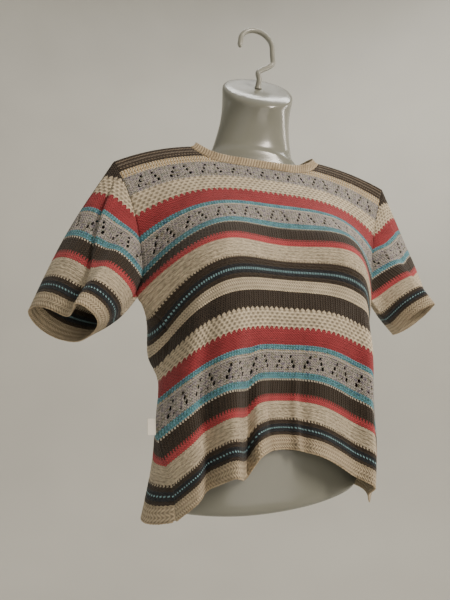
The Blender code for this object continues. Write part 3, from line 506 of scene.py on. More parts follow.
def filling_points(outline, edge, loops):
    """Rows of points that fill a flat piece, clear of its neckline and its eyelets."""
    low, high = edge.min(0), edge.max(0)
    rows = int(round((high[1] - low[1]) / DOWN))
    columns = int(round((high[0] - low[0]) / ACROSS))
    grid = []
    for row in range(1, rows):
        shift = 0.25 if row % 2 else -0.25
        xs = low[0] + (np.arange(1, columns) + shift) * (high[0] - low[0]) / columns
        grid.append(np.stack((xs, np.full(len(xs), low[1] + row * (high[1] - low[1]) / rows)), -1))
    grid = np.vstack(grid)
    keep = np.ones(len(grid), bool)
    for corner, (_, _, name) in zip(edge, outline):
        if name and name[0] in ("neck", "neck end"):
            keep &= np.abs(grid - corner).sum(1) > NECK_CLEAR
    neck = [y for _, y, name in outline if name and name[0] == "neck"]
    if neck:
        t = grid[:, 0] / HALF_WIDTH
        shape = FRONT_NECK if max(neck) < 0.05 else BACK_NECK
        between = np.abs((t - NECK_SHIFT) / NECK_HALF) < 1.0
        keep &= ~(between & (grid[:, 1] < neck_level(t, shape) + 0.0006))
    for loop in loops:
        half = (loop.max(0) - loop.min(0)) / 2 + 0.0009
        keep &= (((grid - loop.mean(0)) / half) ** 2).sum(1) > 1.0
    return grid[keep]


def cut_piece(outline, place, bands, flat_of, level_of):
    """Fine triangles of one flat piece with its eyelets, placed in space."""
    edge = np.array([(x, y) for x, y, _ in outline])
    loops = eyelet_loops(outline, bands, flat_of)
    flat = np.vstack([edge, *loops, filling_points(outline, edge, loops)])
    edges = [(i, (i + 1) % len(edge)) for i in range(len(edge))]
    ring_of = np.full(len(flat), -1)
    ring_of[:len(edge)] = 0
    for k in range(len(loops)):
        base = len(edge) + EYELET_SIDES * k
        ring_of[base:base + EYELET_SIDES] = k + 1
        edges.extend((base + i, base + (i + 1) % EYELET_SIDES) for i in range(EYELET_SIDES))
    result = delaunay_2d_cdt([Vector(p * 1000.0) for p in flat], edges, [], 0, 1e-5)
    origin = np.array([ids[0] for ids in result[3]])
    triangles = origin[np.array([tuple(face) for face in result[2]])]
    rings = ring_of[triangles]
    same = (rings[:, 0] == rings[:, 1]) & (rings[:, 1] == rings[:, 2])
    drop = same & (rings[:, 0] > 0)
    for i in np.nonzero(same & (rings[:, 0] == 0))[0]:
        drop[i] = not inside(flat[triangles[i]].mean(0), edge)
    names = {i: name for i, (_, _, name) in enumerate(outline) if name is not None}
    return {"triangles": triangles[~drop], "points": place(flat[:, 0], flat[:, 1]), "names": names,
            "u": flat[:, 0], "level": level_of(flat[:, 0], flat[:, 1]), "edge_count": len(edge)}


def face_outward(piece, outward):
    """Turns the triangles so that their normals point the given way on the whole."""
    p, tri = piece["points"], piece["triangles"]
    total = np.cross(p[tri[:, 1]] - p[tri[:, 0]], p[tri[:, 2]] - p[tri[:, 0]]).sum(0)
    if total @ np.array(outward) < 0:
        piece["triangles"] = tri[:, ::-1].copy()


def most_open(facets):
    """Direction whose widest angle to the facets around a point is the least."""
    best = facets.sum(axis=0)
    best /= np.linalg.norm(best)
    for k in range(60):
        worst = facets[np.argmin(facets @ best)]
        best = best + worst * 0.3 / (1.0 + 0.25 * k)
        best /= np.linalg.norm(best)
    return best


def shared_normals(pieces):
    """Normals at each point, with one normal where pieces meet at a seam."""
    around = {}
    for piece in pieces:
        p, tri = piece["points"], piece["triangles"]
        facets = np.cross(p[tri[:, 1]] - p[tri[:, 0]], p[tri[:, 2]] - p[tri[:, 0]])
        normals = np.zeros_like(p)
        for corner in range(3):
            np.add.at(normals, tri[:, corner], facets)
        piece["normals"] = unit(normals)
        facets = unit(facets)
        for i in np.nonzero((tri < piece["edge_count"]).any(1))[0]:
            for corner in tri[i]:
                if corner in piece["names"]:
                    around.setdefault(piece["names"][corner], []).append(facets[i])
    for name, facets in around.items():
        around[name] = most_open(np.array(facets))
    for piece in pieces:
        for i, name in piece["names"].items():
            piece["normals"][i] = around[name]


def thicken(piece):
    """Closed wall of the knit, with relief outside, a small gap at its seams and open eyelets."""
    p, n = piece["points"].copy(), piece["normals"]
    tri = piece["triangles"]
    count = piece["edge_count"]
    seam = np.array([i in piece["names"] for i in range(count)])
    seam_points = p[:count][seam]
    for i in np.nonzero(seam)[0]:
        away = p[(i + 1) % count] - p[i - 1]
        side = np.cross(n[i], away)
        side /= np.linalg.norm(side)
        middle = p[tri[(tri == i).any(1)].ravel()].mean(0) - p[i]
        if side @ middle < 0:
            side = -side
        p[i] = p[i] + side * GAP / 2
    height = relief(piece["u"], piece["level"])
    nearest = np.full(len(p), 1.0)
    step = max(1, len(seam_points) // 400)
    for q in seam_points[::step]:
        nearest = np.minimum(nearest, ((p - q) ** 2).sum(1))
    height = height - SEAM_DIP[0] * np.exp(-nearest / SEAM_DIP[1] ** 2)
    height[:count][seam] = -0.0002
    outer = p + n * (CLOTH / 2 - 0.0003 + height)[:, None]
    under = p - n * (CLOTH / 2)
    total = len(p)
    edges = np.vstack((tri[:, (0, 1)], tri[:, (1, 2)], tri[:, (2, 0)]))
    key = edges[:, 0].astype(np.int64) * total + edges[:, 1]
    back = edges[:, 1].astype(np.int64) * total + edges[:, 0]
    rim = edges[~np.isin(key, back)]
    faces = np.vstack((tri, tri[:, ::-1] + total,
                       np.stack((rim[:, 1], rim[:, 0], rim[:, 0] + total), -1),
                       np.stack((rim[:, 1], rim[:, 0] + total, rim[:, 1] + total), -1)))
    uv = np.stack((piece["u"], piece["level"]), -1)
    return np.vstack((outer, under)), faces, np.vstack((uv, uv))


def put_in(name, data):
    """Adds an object with this data to the scene."""
    obj = bpy.data.objects.new(name, data)
    bpy.context.scene.collection.objects.link(obj)
    return obj


def finish_piece(obj, material, node):
    """Gives a piece its material, hangs it under the root body and hides the CAD node that it stands for."""
    obj.data.materials.append(material)
    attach(obj, "root")
    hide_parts(node)


def round_off(obj):
    """Rounds a mesh of few faces, the same in every view."""
    rounding = obj.modifiers.new("rounding", "SUBSURF")
    rounding.levels = 2
    rounding.render_levels = 2


def ring_faces(rings, size, closed=False):
    """Triangles between rings of points, one after another, and back to the first if closed."""
    faces = []
    for a in range((rings if closed else rings - 1) * size):
        b = a + 1 if (a + 1) % size else a + 1 - size
        far_a, far_b = (a + size) % (rings * size), (b + size) % (rings * size)
        faces += [(a, b, far_b), (a, far_b, far_a)]
    return faces


def make_mesh(name, verts, faces, uv=None):
    """Adds a mesh object, smooth, with a flat map in metres if one is given."""
    mesh = bpy.data.meshes.new(name)
    if isinstance(faces, np.ndarray):
        used = np.unique(faces)
        index = np.full(len(verts), -1)
        index[used] = np.arange(len(used))
        verts, faces = verts[used], index[faces]
        mesh.vertices.add(len(verts))
        mesh.vertices.foreach_set("co", verts.astype(np.float32).ravel())
        mesh.loops.add(faces.size)
        mesh.loops.foreach_set("vertex_index", faces.astype(np.int32).ravel())
        mesh.polygons.add(len(faces))
        mesh.polygons.foreach_set("loop_start", np.arange(0, faces.size, 3, dtype=np.int32))
        mesh.update(calc_edges=True)
        if uv is not None:
            layer = mesh.uv_layers.new(name="flat")
            layer.data.foreach_set("uv", uv[used][faces.ravel()].astype(np.float32).ravel())
    else:
        mesh.from_pydata([tuple(v) for v in verts], [], [tuple(f) for f in faces])
    mesh.validate()
    mesh.shade_smooth()
    return put_in(name, mesh)


# Materials

def linear(code):
    """Linear colour of an sRGB hex value."""
    parts = [int(code[i:i + 2], 16) / 255.0 for i in (1, 3, 5)]
    return (*[c / 12.92 if c <= 0.04045 else ((c + 0.055) / 1.055) ** 2.4 for c in parts], 1.0)


def plug(tree, node, inputs):
    """Fills a node's inputs: each is a value, another node's output, or a node for its first output."""
    for key, value in inputs.items():
        if isinstance(value, bpy.types.Node):
            value = value.outputs[0]
        if isinstance(value, bpy.types.NodeSocket):
            tree.links.new(value, node.inputs[key])
        else:
            node.inputs[key].default_value = value


def add(tree, kind, inputs=None, **settings):
    """Adds a node with its settings and inputs."""
    node = tree.nodes.new(kind)
    for key, value in settings.items():
        setattr(node, key, value)
    plug(tree, node, inputs or {})
    return node


def new_material(name):
    """Gives a material's tree and its surface shader."""
    material = bpy.data.materials.new(name)
    material.use_nodes = True
    tree = material.node_tree
    return material, tree, tree.nodes["Principled BSDF"]


def fill_ramp(node, stops, mode="CONSTANT"):
    """Puts the stops on a colour ramp: places 0 to 1 with a linear colour each."""
    ramp = node.color_ramp
    ramp.interpolation = mode
    while len(ramp.elements) > 1:
        ramp.elements.remove(ramp.elements[-1])
    ramp.elements[0].position = stops[0][0]
    ramp.elements[0].color = stops[0][1]
    for place, colour in stops[1:]:
        ramp.elements.new(place).color = colour


def hex_stops(*stops):
    """Stops of a colour ramp from places and sRGB hex values."""
    return [(place, linear(code)) for place, code in stops]


def wave(tree, place, period, shape="COSINE"):
    """Wave along a direction of the flat cloth, with its period in metres."""
    turn = add(tree, "ShaderNodeMath", {0: place, 1: 2 * math.pi / period}, operation="MULTIPLY")
    return add(tree, "ShaderNodeMath", {0: turn}, operation=shape)


def yarn_lengths(tree, u, v, per_metre_across, per_metre_down):
    """Uneven lengths of yarn along the rows of the flat cloth."""
    along = add(tree, "ShaderNodeMath", {0: u, 1: per_metre_across}, operation="MULTIPLY")
    down = add(tree, "ShaderNodeMath", {0: v, 1: per_metre_down}, operation="MULTIPLY")
    grid = add(tree, "ShaderNodeCombineXYZ", {0: along, 1: down})
    return add(tree, "ShaderNodeTexNoise", {"Vector": grid, "Scale": 1.0, "Detail": 1.0})


def with_tone_and_painted_shade(tree, colour, painted_shade_and_tone):
    """Colour multiplied by a grey: painted shade in the hollows and grooves of the knit, and uneven tone of
    the yarn and the plastic.
    """
    grey = add(tree, "ShaderNodeCombineXYZ", {0: painted_shade_and_tone, 1: painted_shade_and_tone, 2: painted_shade_and_tone})
    mixed = add(tree, "ShaderNodeMix", {0: 1.0, 6: colour, 7: grey}, data_type="RGBA", blend_type="MULTIPLY")
    return mixed.outputs[2]


def row_edge(tree, u, v, leg, spot):
    """Level down the cloth for the stripes: every colour change is jagged by the Vs, and the seed stitch
    ends in points 8 mm wide."""
    jag = add(tree, "ShaderNodeMath", {0: leg, 1: 0.55, 2: v}, operation="MULTIPLY_ADD")
    jag = add(tree, "ShaderNodeMath", {0: jag, 1: 0.0005}, operation="SUBTRACT")
    point = add(tree, "ShaderNodeMath", {0: u, 1: STITCH}, operation="PINGPONG")
    point = add(tree, "ShaderNodeMath", {0: point, 1: STITCH / 2}, operation="SUBTRACT")
    zone = add(tree, "ShaderNodeValToRGB", {0: spot})
    fill_ramp(zone, [(level / LENGTH, WHITE if i % 2 else BLACK) for i, level in enumerate(POINTED)])
    point = add(tree, "ShaderNodeMath", {0: point, 1: zone}, operation="MULTIPLY")
    return add(tree, "ShaderNodeMath", {0: point, 1: 1.3, 2: jag}, operation="MULTIPLY_ADD")


def stripe_colour(tree, u, level):
    """Colour of the stripes, in two ramps for the two halves, once for each of the two yarns of a row."""
    halves = []
    for low, high in ((0.0, SPLIT), (SPLIT, LENGTH * 1000.0)):
        where = add(tree, "ShaderNodeMapRange", {0: level, 1: low / 1000, 2: high / 1000, 3: 0, 4: 1})
        rows = [(s[0], s[1], s[-1]) for s in STRIPES if low <= s[0] < high]
        pair = []
        for column in (1, 2):
            ramp = add(tree, "ShaderNodeValToRGB", {0: where})
            fill_ramp(ramp, [((s[0] - low) / (high - low), linear(YARN[s[column]])) for s in rows])
            pair.append(ramp)
        halves.append(pair)
    second = add(tree, "ShaderNodeMath", {0: level, 1: SPLIT / 1000}, operation="GREATER_THAN")
    turn = add(tree, "ShaderNodeMath", {0: u, 1: 1 / STITCH}, operation="MULTIPLY")
    turn = add(tree, "ShaderNodeMath", {0: turn}, operation="FRACT")
    other = add(tree, "ShaderNodeMath", {0: turn, 1: 0.45}, operation="LESS_THAN")
    main, dash = [add(tree, "ShaderNodeMix", {0: second, 6: halves[0][i], 7: halves[1][i]}, data_type="RGBA")
                  for i in (0, 1)]
    colour = add(tree, "ShaderNodeMix", {0: other, 6: main.outputs[2], 7: dash.outputs[2]}, data_type="RGBA")
    return colour.outputs[2]


def marled(tree, u, v, spot, colour):
    """Marled yarn in the lace and blue rows: lilac, grey-green and blue-grey lengths, 7 mm long."""
    tints = add(tree, "ShaderNodeValToRGB", {0: yarn_lengths(tree, u, v, 150.0, 330.0)})
    fill_ramp(tints, hex_stops((0.34, "#b0abc0"), (0.44, "#f4f0f2"), (0.52, "#fffaf0"), (0.60, "#bccac8"),
                               (0.68, "#c9c3ab")), "LINEAR")
    changes = [(row[0], row[1] in ("lace", "blue")) for row in STRIPES]
    changes = [c for i, c in enumerate(changes) if i == 0 or c[1] != changes[i - 1][1]]
    rows = add(tree, "ShaderNodeValToRGB", {0: spot})
    fill_ramp(rows, [(edge / 1000 / LENGTH, WHITE if on else BLACK) for edge, on in changes])
    dyed = add(tree, "ShaderNodeMix", {0: 1.0, 6: colour, 7: tints}, data_type="RGBA", blend_type="MULTIPLY")
    mixed = add(tree, "ShaderNodeMix", {0: rows, 6: colour, 7: dyed.outputs[2]}, data_type="RGBA")
    return mixed.outputs[2]


def stitch_height(tree, u, v, leg, spot):
    """Height of the stitches: Vs, braids, garter ridges, seed pits and long strands, each on its own rows."""
    kinds = add(tree, "ShaderNodeValToRGB", {0: spot})
    fill_ramp(kinds, [(row[0] / 1000 / LENGTH, (row[1], row[2], row[3], 1)) for row in KNITTING])
    kind = add(tree, "ShaderNodeSeparateColor", {0: kinds})
    slant = add(tree, "ShaderNodeMath", {0: leg, 1: 1.2, 2: v}, operation="MULTIPLY_ADD")
    vee = wave(tree, slant, STITCH_TALL, "SINE")
    # Braided rows: the stitches lean one way for a row and then the other
    lean = add(tree, "ShaderNodeMath", {0: v, 1: BRAID_ROW}, operation="PINGPONG")
    lean = add(tree, "ShaderNodeMath", {0: lean, 1: 0.75, 2: u}, operation="MULTIPLY_ADD")
    lean = wave(tree, lean, BRAID_STITCH, "SINE")
    rows = wave(tree, v, BRAID_ROW)
    braid = add(tree, "ShaderNodeMath", {0: rows, 1: -0.7, 2: lean}, operation="MULTIPLY_ADD")
    braided = add(tree, "ShaderNodeValToRGB", {0: spot})
    fill_ramp(braided, [(0.0, BLACK)] + [(edge / 1000 / LENGTH, BLACK if i % 2 else WHITE)
                                         for i, edge in enumerate(BRAIDS)])
    stitch = add(tree, "ShaderNodeMix", {0: braided, 2: vee, 3: braid})
    ridge = wave(tree, v, RIDGE)
    # Seed pits shift by half a pair from row to row
    row = add(tree, "ShaderNodeMath", {0: v, 1: RIDGE}, operation="DIVIDE")
    row = add(tree, "ShaderNodeMath", {0: row}, operation="FLOOR")
    row = add(tree, "ShaderNodeMath", {0: row, 1: math.pi}, operation="MULTIPLY")
    across = add(tree, "ShaderNodeMath", {0: u, 1: 2 * math.pi / SEED_PAIR, 2: row}, operation="MULTIPLY_ADD")
    across = add(tree, "ShaderNodeMath", {0: across}, operation="COSINE")
    pits = add(tree, "ShaderNodeMath", {0: across, 1: ridge}, operation="ADD")
    strand = wave(tree, u, STITCH)
    rest = add(tree, "ShaderNodeMath", {0: 1.0, 1: kind}, operation="SUBTRACT")
    rest = add(tree, "ShaderNodeMath", {0: rest, 1: kind.outputs[1]}, operation="SUBTRACT", use_clamp=True)
    height = add(tree, "ShaderNodeMath", {0: stitch, 1: rest}, operation="MULTIPLY")
    # Thin broken lines 1.3 mm apart run through the garter rows
    broken = yarn_lengths(tree, u, v, 190.0, 760.0)
    broken = add(tree, "ShaderNodeMapRange", {0: broken, 1: 0.3, 2: 0.7, 3: -1.3, 4: 1.3})
    garter = add(tree, "ShaderNodeMath", {0: ridge, 1: 0.45, 2: broken}, operation="MULTIPLY_ADD")
    for part, share in ((garter, kind.outputs[0]), (pits, kind.outputs[1]), (strand, kind.outputs[2])):
        height = add(tree, "ShaderNodeMath", {0: part, 1: share, 2: height}, operation="MULTIPLY_ADD")
    return height


def cotton_knit():
    """Cotton yarn, hand knitted: matt and soft, with stitches 4 mm wide that show as Vs, ridges and pits, and
    painted shade in their hollows.
    """
    material, tree, shader = new_material("cotton_knit_stripes")
    flat = add(tree, "ShaderNodeUVMap", uv_map="flat")
    parts = add(tree, "ShaderNodeSeparateXYZ", {0: flat})
    u, v = parts.outputs[0], parts.outputs[1]
    leg = add(tree, "ShaderNodeMath", {0: u, 1: STITCH / 2}, operation="PINGPONG")
    spot = add(tree, "ShaderNodeMapRange", {0: v, 1: 0.0, 2: LENGTH, 3: 0.0, 4: 1.0})
    colour = stripe_colour(tree, u, row_edge(tree, u, v, leg, spot))
    colour = marled(tree, u, v, spot, colour)
    place = add(tree, "ShaderNodeTexCoord").outputs["Object"]
    fibre = add(tree, "ShaderNodeTexNoise", {"Vector": place, "Scale": 620.0, "Detail": 3.0})
    patch = add(tree, "ShaderNodeTexNoise", {"Vector": place, "Scale": 60.0, "Detail": 2.0})
    height = stitch_height(tree, u, v, leg, spot)
    height = add(tree, "ShaderNodeMath", {0: fibre, 1: 1.1, 2: height}, operation="MULTIPLY_ADD")
    # Painted shade: the yarn is drawn darker in the hollows of the stitches, and its tone is uneven along its
    # length
    painted_shade_and_tone = add(tree, "ShaderNodeMapRange", {0: height, 1: -1.0, 2: 1.7, 3: 0.50, 4: 1.14})
    uneven = add(tree, "ShaderNodeMapRange", {0: patch, 1: 0.3, 2: 0.7, 3: 0.88, 4: 1.1})
    painted_shade_and_tone = add(tree, "ShaderNodeMath", {0: painted_shade_and_tone, 1: uneven}, operation="MULTIPLY")
    bump = add(tree, "ShaderNodeBump", {"Strength": 0.75, "Distance": 0.0007, "Height": height})
    plug(tree, shader, {"Base Color": with_tone_and_painted_shade(tree, colour, painted_shade_and_tone), "Normal": bump, "Roughness": 0.92,
                        "Sheen Weight": 0.1, "Sheen Roughness": 0.6, "Specular IOR Level": 0.25})
    return material


def cotton_rib():
    """The same cotton in a rolled rib and in the cast-off edges: cream, with fuzz, uneven yarn and painted
    shade in the grooves beside the ribs.
    """
    material, tree, shader = new_material("cotton_rib_cream")
    place = add(tree, "ShaderNodeTexCoord").outputs["Object"]
    fibre = add(tree, "ShaderNodeTexNoise", {"Vector": place, "Scale": 700.0, "Detail": 4.0})
    patch = add(tree, "ShaderNodeTexNoise", {"Vector": place, "Scale": 45.0, "Detail": 2.0})
    mixed = add(tree, "ShaderNodeMath", {0: fibre, 1: 0.6, 2: patch}, operation="MULTIPLY_ADD")
    ramp = add(tree, "ShaderNodeValToRGB", {0: mixed})
    fill_ramp(ramp, hex_stops((0.45, "#83735b"), (0.75, "#ab997e"), (1.0, "#c4b295")), "LINEAR")
    # Painted shade: the groove beside each rib is drawn darker
    flat = add(tree, "ShaderNodeUVMap", uv_map="flat")
    parts = add(tree, "ShaderNodeSeparateXYZ", {0: flat})
    painted_groove_shade = add(tree, "ShaderNodeMapRange", {0: wave(tree, parts, RIB), 1: -1.0, 2: 0.2, 3: 0.52, 4: 1.0})
    bump = add(tree, "ShaderNodeBump", {"Strength": 0.6, "Distance": 0.0008, "Height": fibre})
    plug(tree, shader, {"Base Color": with_tone_and_painted_shade(tree, ramp, painted_groove_shade), "Normal": bump, "Roughness": 0.93,
                        "Sheen Weight": 0.25, "Specular IOR Level": 0.25})
    return material


def moulded_polystyrene(name, code, roughness):
    """Blow-moulded polystyrene: semi-gloss, faintly wavy from the mould, with light scuffs."""
    material, tree, shader = new_material(name)
    place = add(tree, "ShaderNodeTexCoord").outputs["Object"]
    waves = add(tree, "ShaderNodeTexNoise", {"Vector": place, "Scale": 14.0, "Detail": 2.0})
    grain = add(tree, "ShaderNodeTexNoise", {"Vector": place, "Scale": 900.0, "Detail": 2.0})
    tint = add(tree, "ShaderNodeMapRange", {0: waves, 1: 0.3, 2: 0.7, 3: 0.94, 4: 1.05})
    gloss = add(tree, "ShaderNodeMapRange", {0: waves, 1: 0.3, 2: 0.7, 3: roughness - 0.04,
                                             4: roughness + 0.07})
    height = add(tree, "ShaderNodeMath", {0: grain, 1: 0.05, 2: waves}, operation="MULTIPLY_ADD")
    bump = add(tree, "ShaderNodeBump", {"Strength": 0.25, "Distance": 0.002, "Height": height})
    plug(tree, shader, {"Base Color": with_tone_and_painted_shade(tree, linear(code), tint), "Normal": bump, "Roughness": gloss,
                        "IOR": 1.55})
    return material


def woven_label():
    """Polyester satin label: off-white, with threads 1.4 mm apart, drawn that coarse so that they show."""
    material, tree, shader = new_material("woven_satin_label")
    place = add(tree, "ShaderNodeTexCoord").outputs["Object"]
    weave = add(tree, "ShaderNodeTexWave", {"Vector": place, "Scale": 225.0, "Distortion": 0.4},
                bands_direction="Z")
    ramp = add(tree, "ShaderNodeValToRGB", {0: weave})
    fill_ramp(ramp, hex_stops((0.0, "#c9c5ba"), (1.0, "#e4e0d6")), "LINEAR")
    bump = add(tree, "ShaderNodeBump", {"Strength": 0.3, "Distance": 0.0003, "Height": weave})
    plug(tree, shader, {"Base Color": ramp, "Normal": bump, "Roughness": 0.55})
    return material


def painted_plaster():
    """Matt painted plaster of the room: pale warm grey with a faint mottle."""
    material, tree, shader = new_material("painted_plaster")
    place = add(tree, "ShaderNodeTexCoord").outputs["Object"]
    mottle = add(tree, "ShaderNodeTexNoise", {"Vector": place, "Scale": 1.2, "Detail": 2.0})
    ramp = add(tree, "ShaderNodeValToRGB", {0: mottle})
    fill_ramp(ramp, hex_stops((0.3, "#bfbcb4"), (0.7, "#c6c3bb")), "LINEAR")
    plug(tree, shader, {"Base Color": ramp, "Roughness": 0.95})
    return material


# Pieces

def make_cloth(knit):
    """Front, back and the two halves of each sleeve; gives the objects by node name."""
    def straight(x, v):
        return x, v

    def own_level(x, v):
        return v

    front = cut_piece(panel_outline(FRONT_NECK, "armhole"), lambda x, v: front_point(x / HALF_WIDTH, v),
                      BODY_LACE, straight, own_level)
    back = cut_piece(panel_outline(BACK_NECK, "back armhole"), lambda x, v: back_point(x / HALF_WIDTH, v),
                     BODY_LACE, straight, own_level)
    face_outward(front, (0, -1, 0))
    face_outward(back, (0, 1, 0))
    pieces = {"front_panel": front, "back_panel": back}
    for side, word in ((-1, "right"), (1, "left")):
        for is_front, part in ((True, "front"), (False, "back")):
            def place(x, y, side=side):
                return sleeve_point(side, x, y)

            def flat_of(x, v):
                start = float(cap_level(x / SLEEVE_ROUND))
                return x, (v - start) / (SLEEVE_LENGTH - start) * SLEEVE_TALL

            def level_of(x, y):
                return sleeve_level(x, y) + SLEEVE_PATTERN

            half = cut_piece(sleeve_outline(side, is_front), place, SLEEVE_LACE, flat_of, level_of)
            face_outward(half, (side * 0.4, -1 if is_front else 1, 0))
            pieces[word + "_sleeve_" + part] = half
    shared_normals(list(pieces.values()))
    made = {}
    for name, piece in pieces.items():
        verts, faces, uv = thicken(piece)
        obj = make_mesh("knit_" + name, verts, faces, uv)
        finish_piece(obj, knit, name)
        made[name] = obj
    return made


def soften(ring, reach, spacing):
    """Evens out a closed row of points over a distance."""
    count = len(ring)
    steps = np.minimum(np.arange(count), count - np.arange(count))
    weights = np.exp(-0.5 * (steps * spacing / reach) ** 2)
    weights /= weights.sum()
    spectrum = np.fft.rfft(ring, axis=0) * np.fft.rfft(weights)[:, None]
    return np.fft.irfft(spectrum, n=count, axis=0)


def evened(vectors, rounds):
    """Directions round a closed line, each turned toward its neighbours."""
    for _ in range(rounds):
        vectors = unit(vectors + np.roll(vectors, 1, 0) + np.roll(vectors, -1, 0))
    return vectors


def neck_line():
    """Points round the neckline, the cloth's normals there, and the ways up along the cloth and upright."""
    path = []
    for place, neck, forward in ((front_point, FRONT_NECK, True), (back_point, BACK_NECK, False)):
        steps = range(NECK_STEPS * 2) if forward else range(NECK_STEPS * 2, 0, -1)
        for i in steps:
            t = NECK_SHIFT - NECK_HALF * math.cos(math.pi * i / (NECK_STEPS * 2))
            v = float(neck_level(t, neck))
            x = t * HALF_WIDTH
            toward = np.array((NECK_SHIFT * HALF_WIDTH - x, -0.01 - v))
            toward *= 0.003 / np.linalg.norm(toward)
            point = place(t, v)
            into = place((x + toward[0]) / HALF_WIDTH, v + toward[1]) - point
            side = place(t + 0.004, v) - place(t - 0.004, v)
            down = place(t, v + 0.002) - place(t, v - 0.002)
            normal = np.cross(down, side) if forward else np.cross(side, down)
            path.append((point, normal / np.linalg.norm(normal), into))
    points, normals, into = (np.array(rows) for rows in zip(*path))
    normals = evened(normals, 10)
    along = np.roll(points, -1, 0) - np.roll(points, 1, 0)
    rise = unit(np.cross(normals, along))
    rise *= np.where((rise * into).sum(1) < 0, -1.0, 1.0)[:, None]
    rise = evened(rise, 6)
    return points, normals, rise, unit(rise * 0.45 + np.array((0.0, 0.0, 1.0)))


def make_neckband(rib):
    """Rolled rib band on the neckline, with a rib every 4.5 mm; gives it and its length."""
    points, normals, rise, upright = neck_line()
    length = np.concatenate(([0.0], np.cumsum(np.linalg.norm(np.diff(points, axis=0), axis=1))))
    total = length[-1] + np.linalg.norm(points[0] - points[-1])
    count = int(round(total / (RIB / RIB_POINTS)))
    count -= count % RIB_POINTS
    at = np.linspace(0.0, total, count, endpoint=False)
    closed = np.append(length, total)

    def read(values):
        return np.stack([np.interp(at, closed, np.append(values[:, i], values[0, i])) for i in range(3)], -1)

    points, normals, rise, upright = read(points), read(normals), read(rise), read(upright)
    verts, flat = [], []
    for out, up in BAND_PROFILE:
        depth = 0.0011 * math.sin(math.pi * min(up, 0.94) / 0.94) if up > 0 else 0.0
        lift = (rise * (1 - up) + upright * up) * up * NECKBAND_HEIGHT + rise * 0.0003
        phase = np.arange(count) / RIB_POINTS - 0.9 * up
        ribs = 0.5 + 0.5 * np.cos(2 * np.pi * phase)
        row = soften(points + normals * out * CLOTH + lift, 0.0004 + 0.012 * up, total / count)
        verts.append(row + normals * (math.copysign(1.0, out) * depth * (ribs - 0.6))[:, None])
        flat.append(np.stack((phase * RIB, np.full(count, up * NECKBAND_HEIGHT)), -1))
    verts = np.stack(verts, 1).reshape(-1, 3)
    flat = np.stack(flat, 1).reshape(-1, 2)
    faces = ring_faces(count, len(BAND_PROFILE), closed=True)
    obj = make_mesh("rib_neckband", verts, np.array(faces), flat)
    turn_outward(obj)
    finish_piece(obj, rib, "neckband")
    return obj, total


def turn_outward(obj):
    """Makes the normals of a closed mesh point out."""
    mesh = bmesh.new()
    mesh.from_mesh(obj.data)
    bmesh.ops.recalc_face_normals(mesh, faces=mesh.faces)
    if mesh.calc_volume(signed=True) < 0:
        bmesh.ops.reverse_faces(mesh, faces=mesh.faces)
    mesh.to_mesh(obj.data)
    mesh.free()


def edge_stitch_tree(material):
    """Geometry nodes that lay cast-off stitches, one after another, along an edge."""
    tree = bpy.data.node_groups.new("cast_off_edge", "GeometryNodeTree")
    tree.interface.new_socket("Geometry", in_out="INPUT", socket_type="NodeSocketGeometry")
    for name, value in (("Stitch length", 0.004), ("Yarn radius", 0.0011)):
        socket = tree.interface.new_socket(name, in_out="INPUT", socket_type="NodeSocketFloat")
        socket.default_value = value
    seed = tree.interface.new_socket("Seed", in_out="INPUT", socket_type="NodeSocketInt")
    seed.default_value = 7
    tree.interface.new_socket("Geometry", in_out="OUTPUT", socket_type="NodeSocketGeometry")
    given = add(tree, "NodeGroupInput")
    line = add(tree, "GeometryNodeMeshToCurve", {"Mesh": given.outputs["Geometry"]})
    long = given.outputs["Stitch length"]
    even_line = add(tree, "GeometryNodeResampleCurve", {"Curve": line, "Length": long}, mode="LENGTH")
    ball = add(tree, "GeometryNodeMeshIcoSphere", {"Radius": 1.0, "Subdivisions": 2})
    lengthwise = add(tree, "ShaderNodeMath", {0: long, 1: 0.62}, operation="MULTIPLY")
    thick = given.outputs["Yarn radius"]
    size = add(tree, "ShaderNodeCombineXYZ", {0: thick, 1: thick, 2: lengthwise})
    stitch = add(tree, "GeometryNodeTransform", {"Geometry": ball, "Scale": size})
    tangent = add(tree, "GeometryNodeInputTangent")
    turned = add(tree, "FunctionNodeAlignRotationToVector", {"Vector": tangent}, axis="Z")
    vary = add(tree, "FunctionNodeRandomValue", {2: 0.88, 3: 1.12, "Seed": given.outputs["Seed"]},
               data_type="FLOAT")
    laid = add(tree, "GeometryNodeInstanceOnPoints",
               {"Points": even_line, "Instance": stitch, "Rotation": turned, "Scale": vary.outputs[1]})
    real = add(tree, "GeometryNodeRealizeInstances", {0: laid})
    dressed = add(tree, "GeometryNodeSetMaterial", {"Geometry": real, "Material": material})
    smooth = add(tree, "GeometryNodeSetShadeSmooth", {"Geometry": dressed})
    add(tree, "NodeGroupOutput", {0: smooth})
    return tree


def lay_edge(name, line, tree, size):
    """Runs the cast-off stitches along a line of points and keeps them as a plain mesh."""
    mesh = bpy.data.meshes.new(name)
    mesh.from_pydata([tuple(p) for p in line], [(i, i + 1) for i in range(len(line) - 1)], [])
    guide = put_in(name + "_line", mesh)
    modifier = guide.modifiers.new("stitches", "NODES")
    modifier.node_group = tree
    sockets = {s.name: s.identifier for s in tree.interface.items_tree if s.in_out == "INPUT"}
    modifier[sockets["Stitch length"]], modifier[sockets["Yarn radius"]] = size
    modifier[sockets["Seed"]] = 7
    bpy.context.view_layer.update()
    shape = guide.evaluated_get(bpy.context.evaluated_depsgraph_get())
    made = bpy.data.meshes.new_from_object(shape)
    guide.modifiers.clear()
    bpy.data.objects.remove(guide, do_unlink=True)
    made.name = name
    obj = put_in(name, made)
    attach(obj, "root")
    return obj


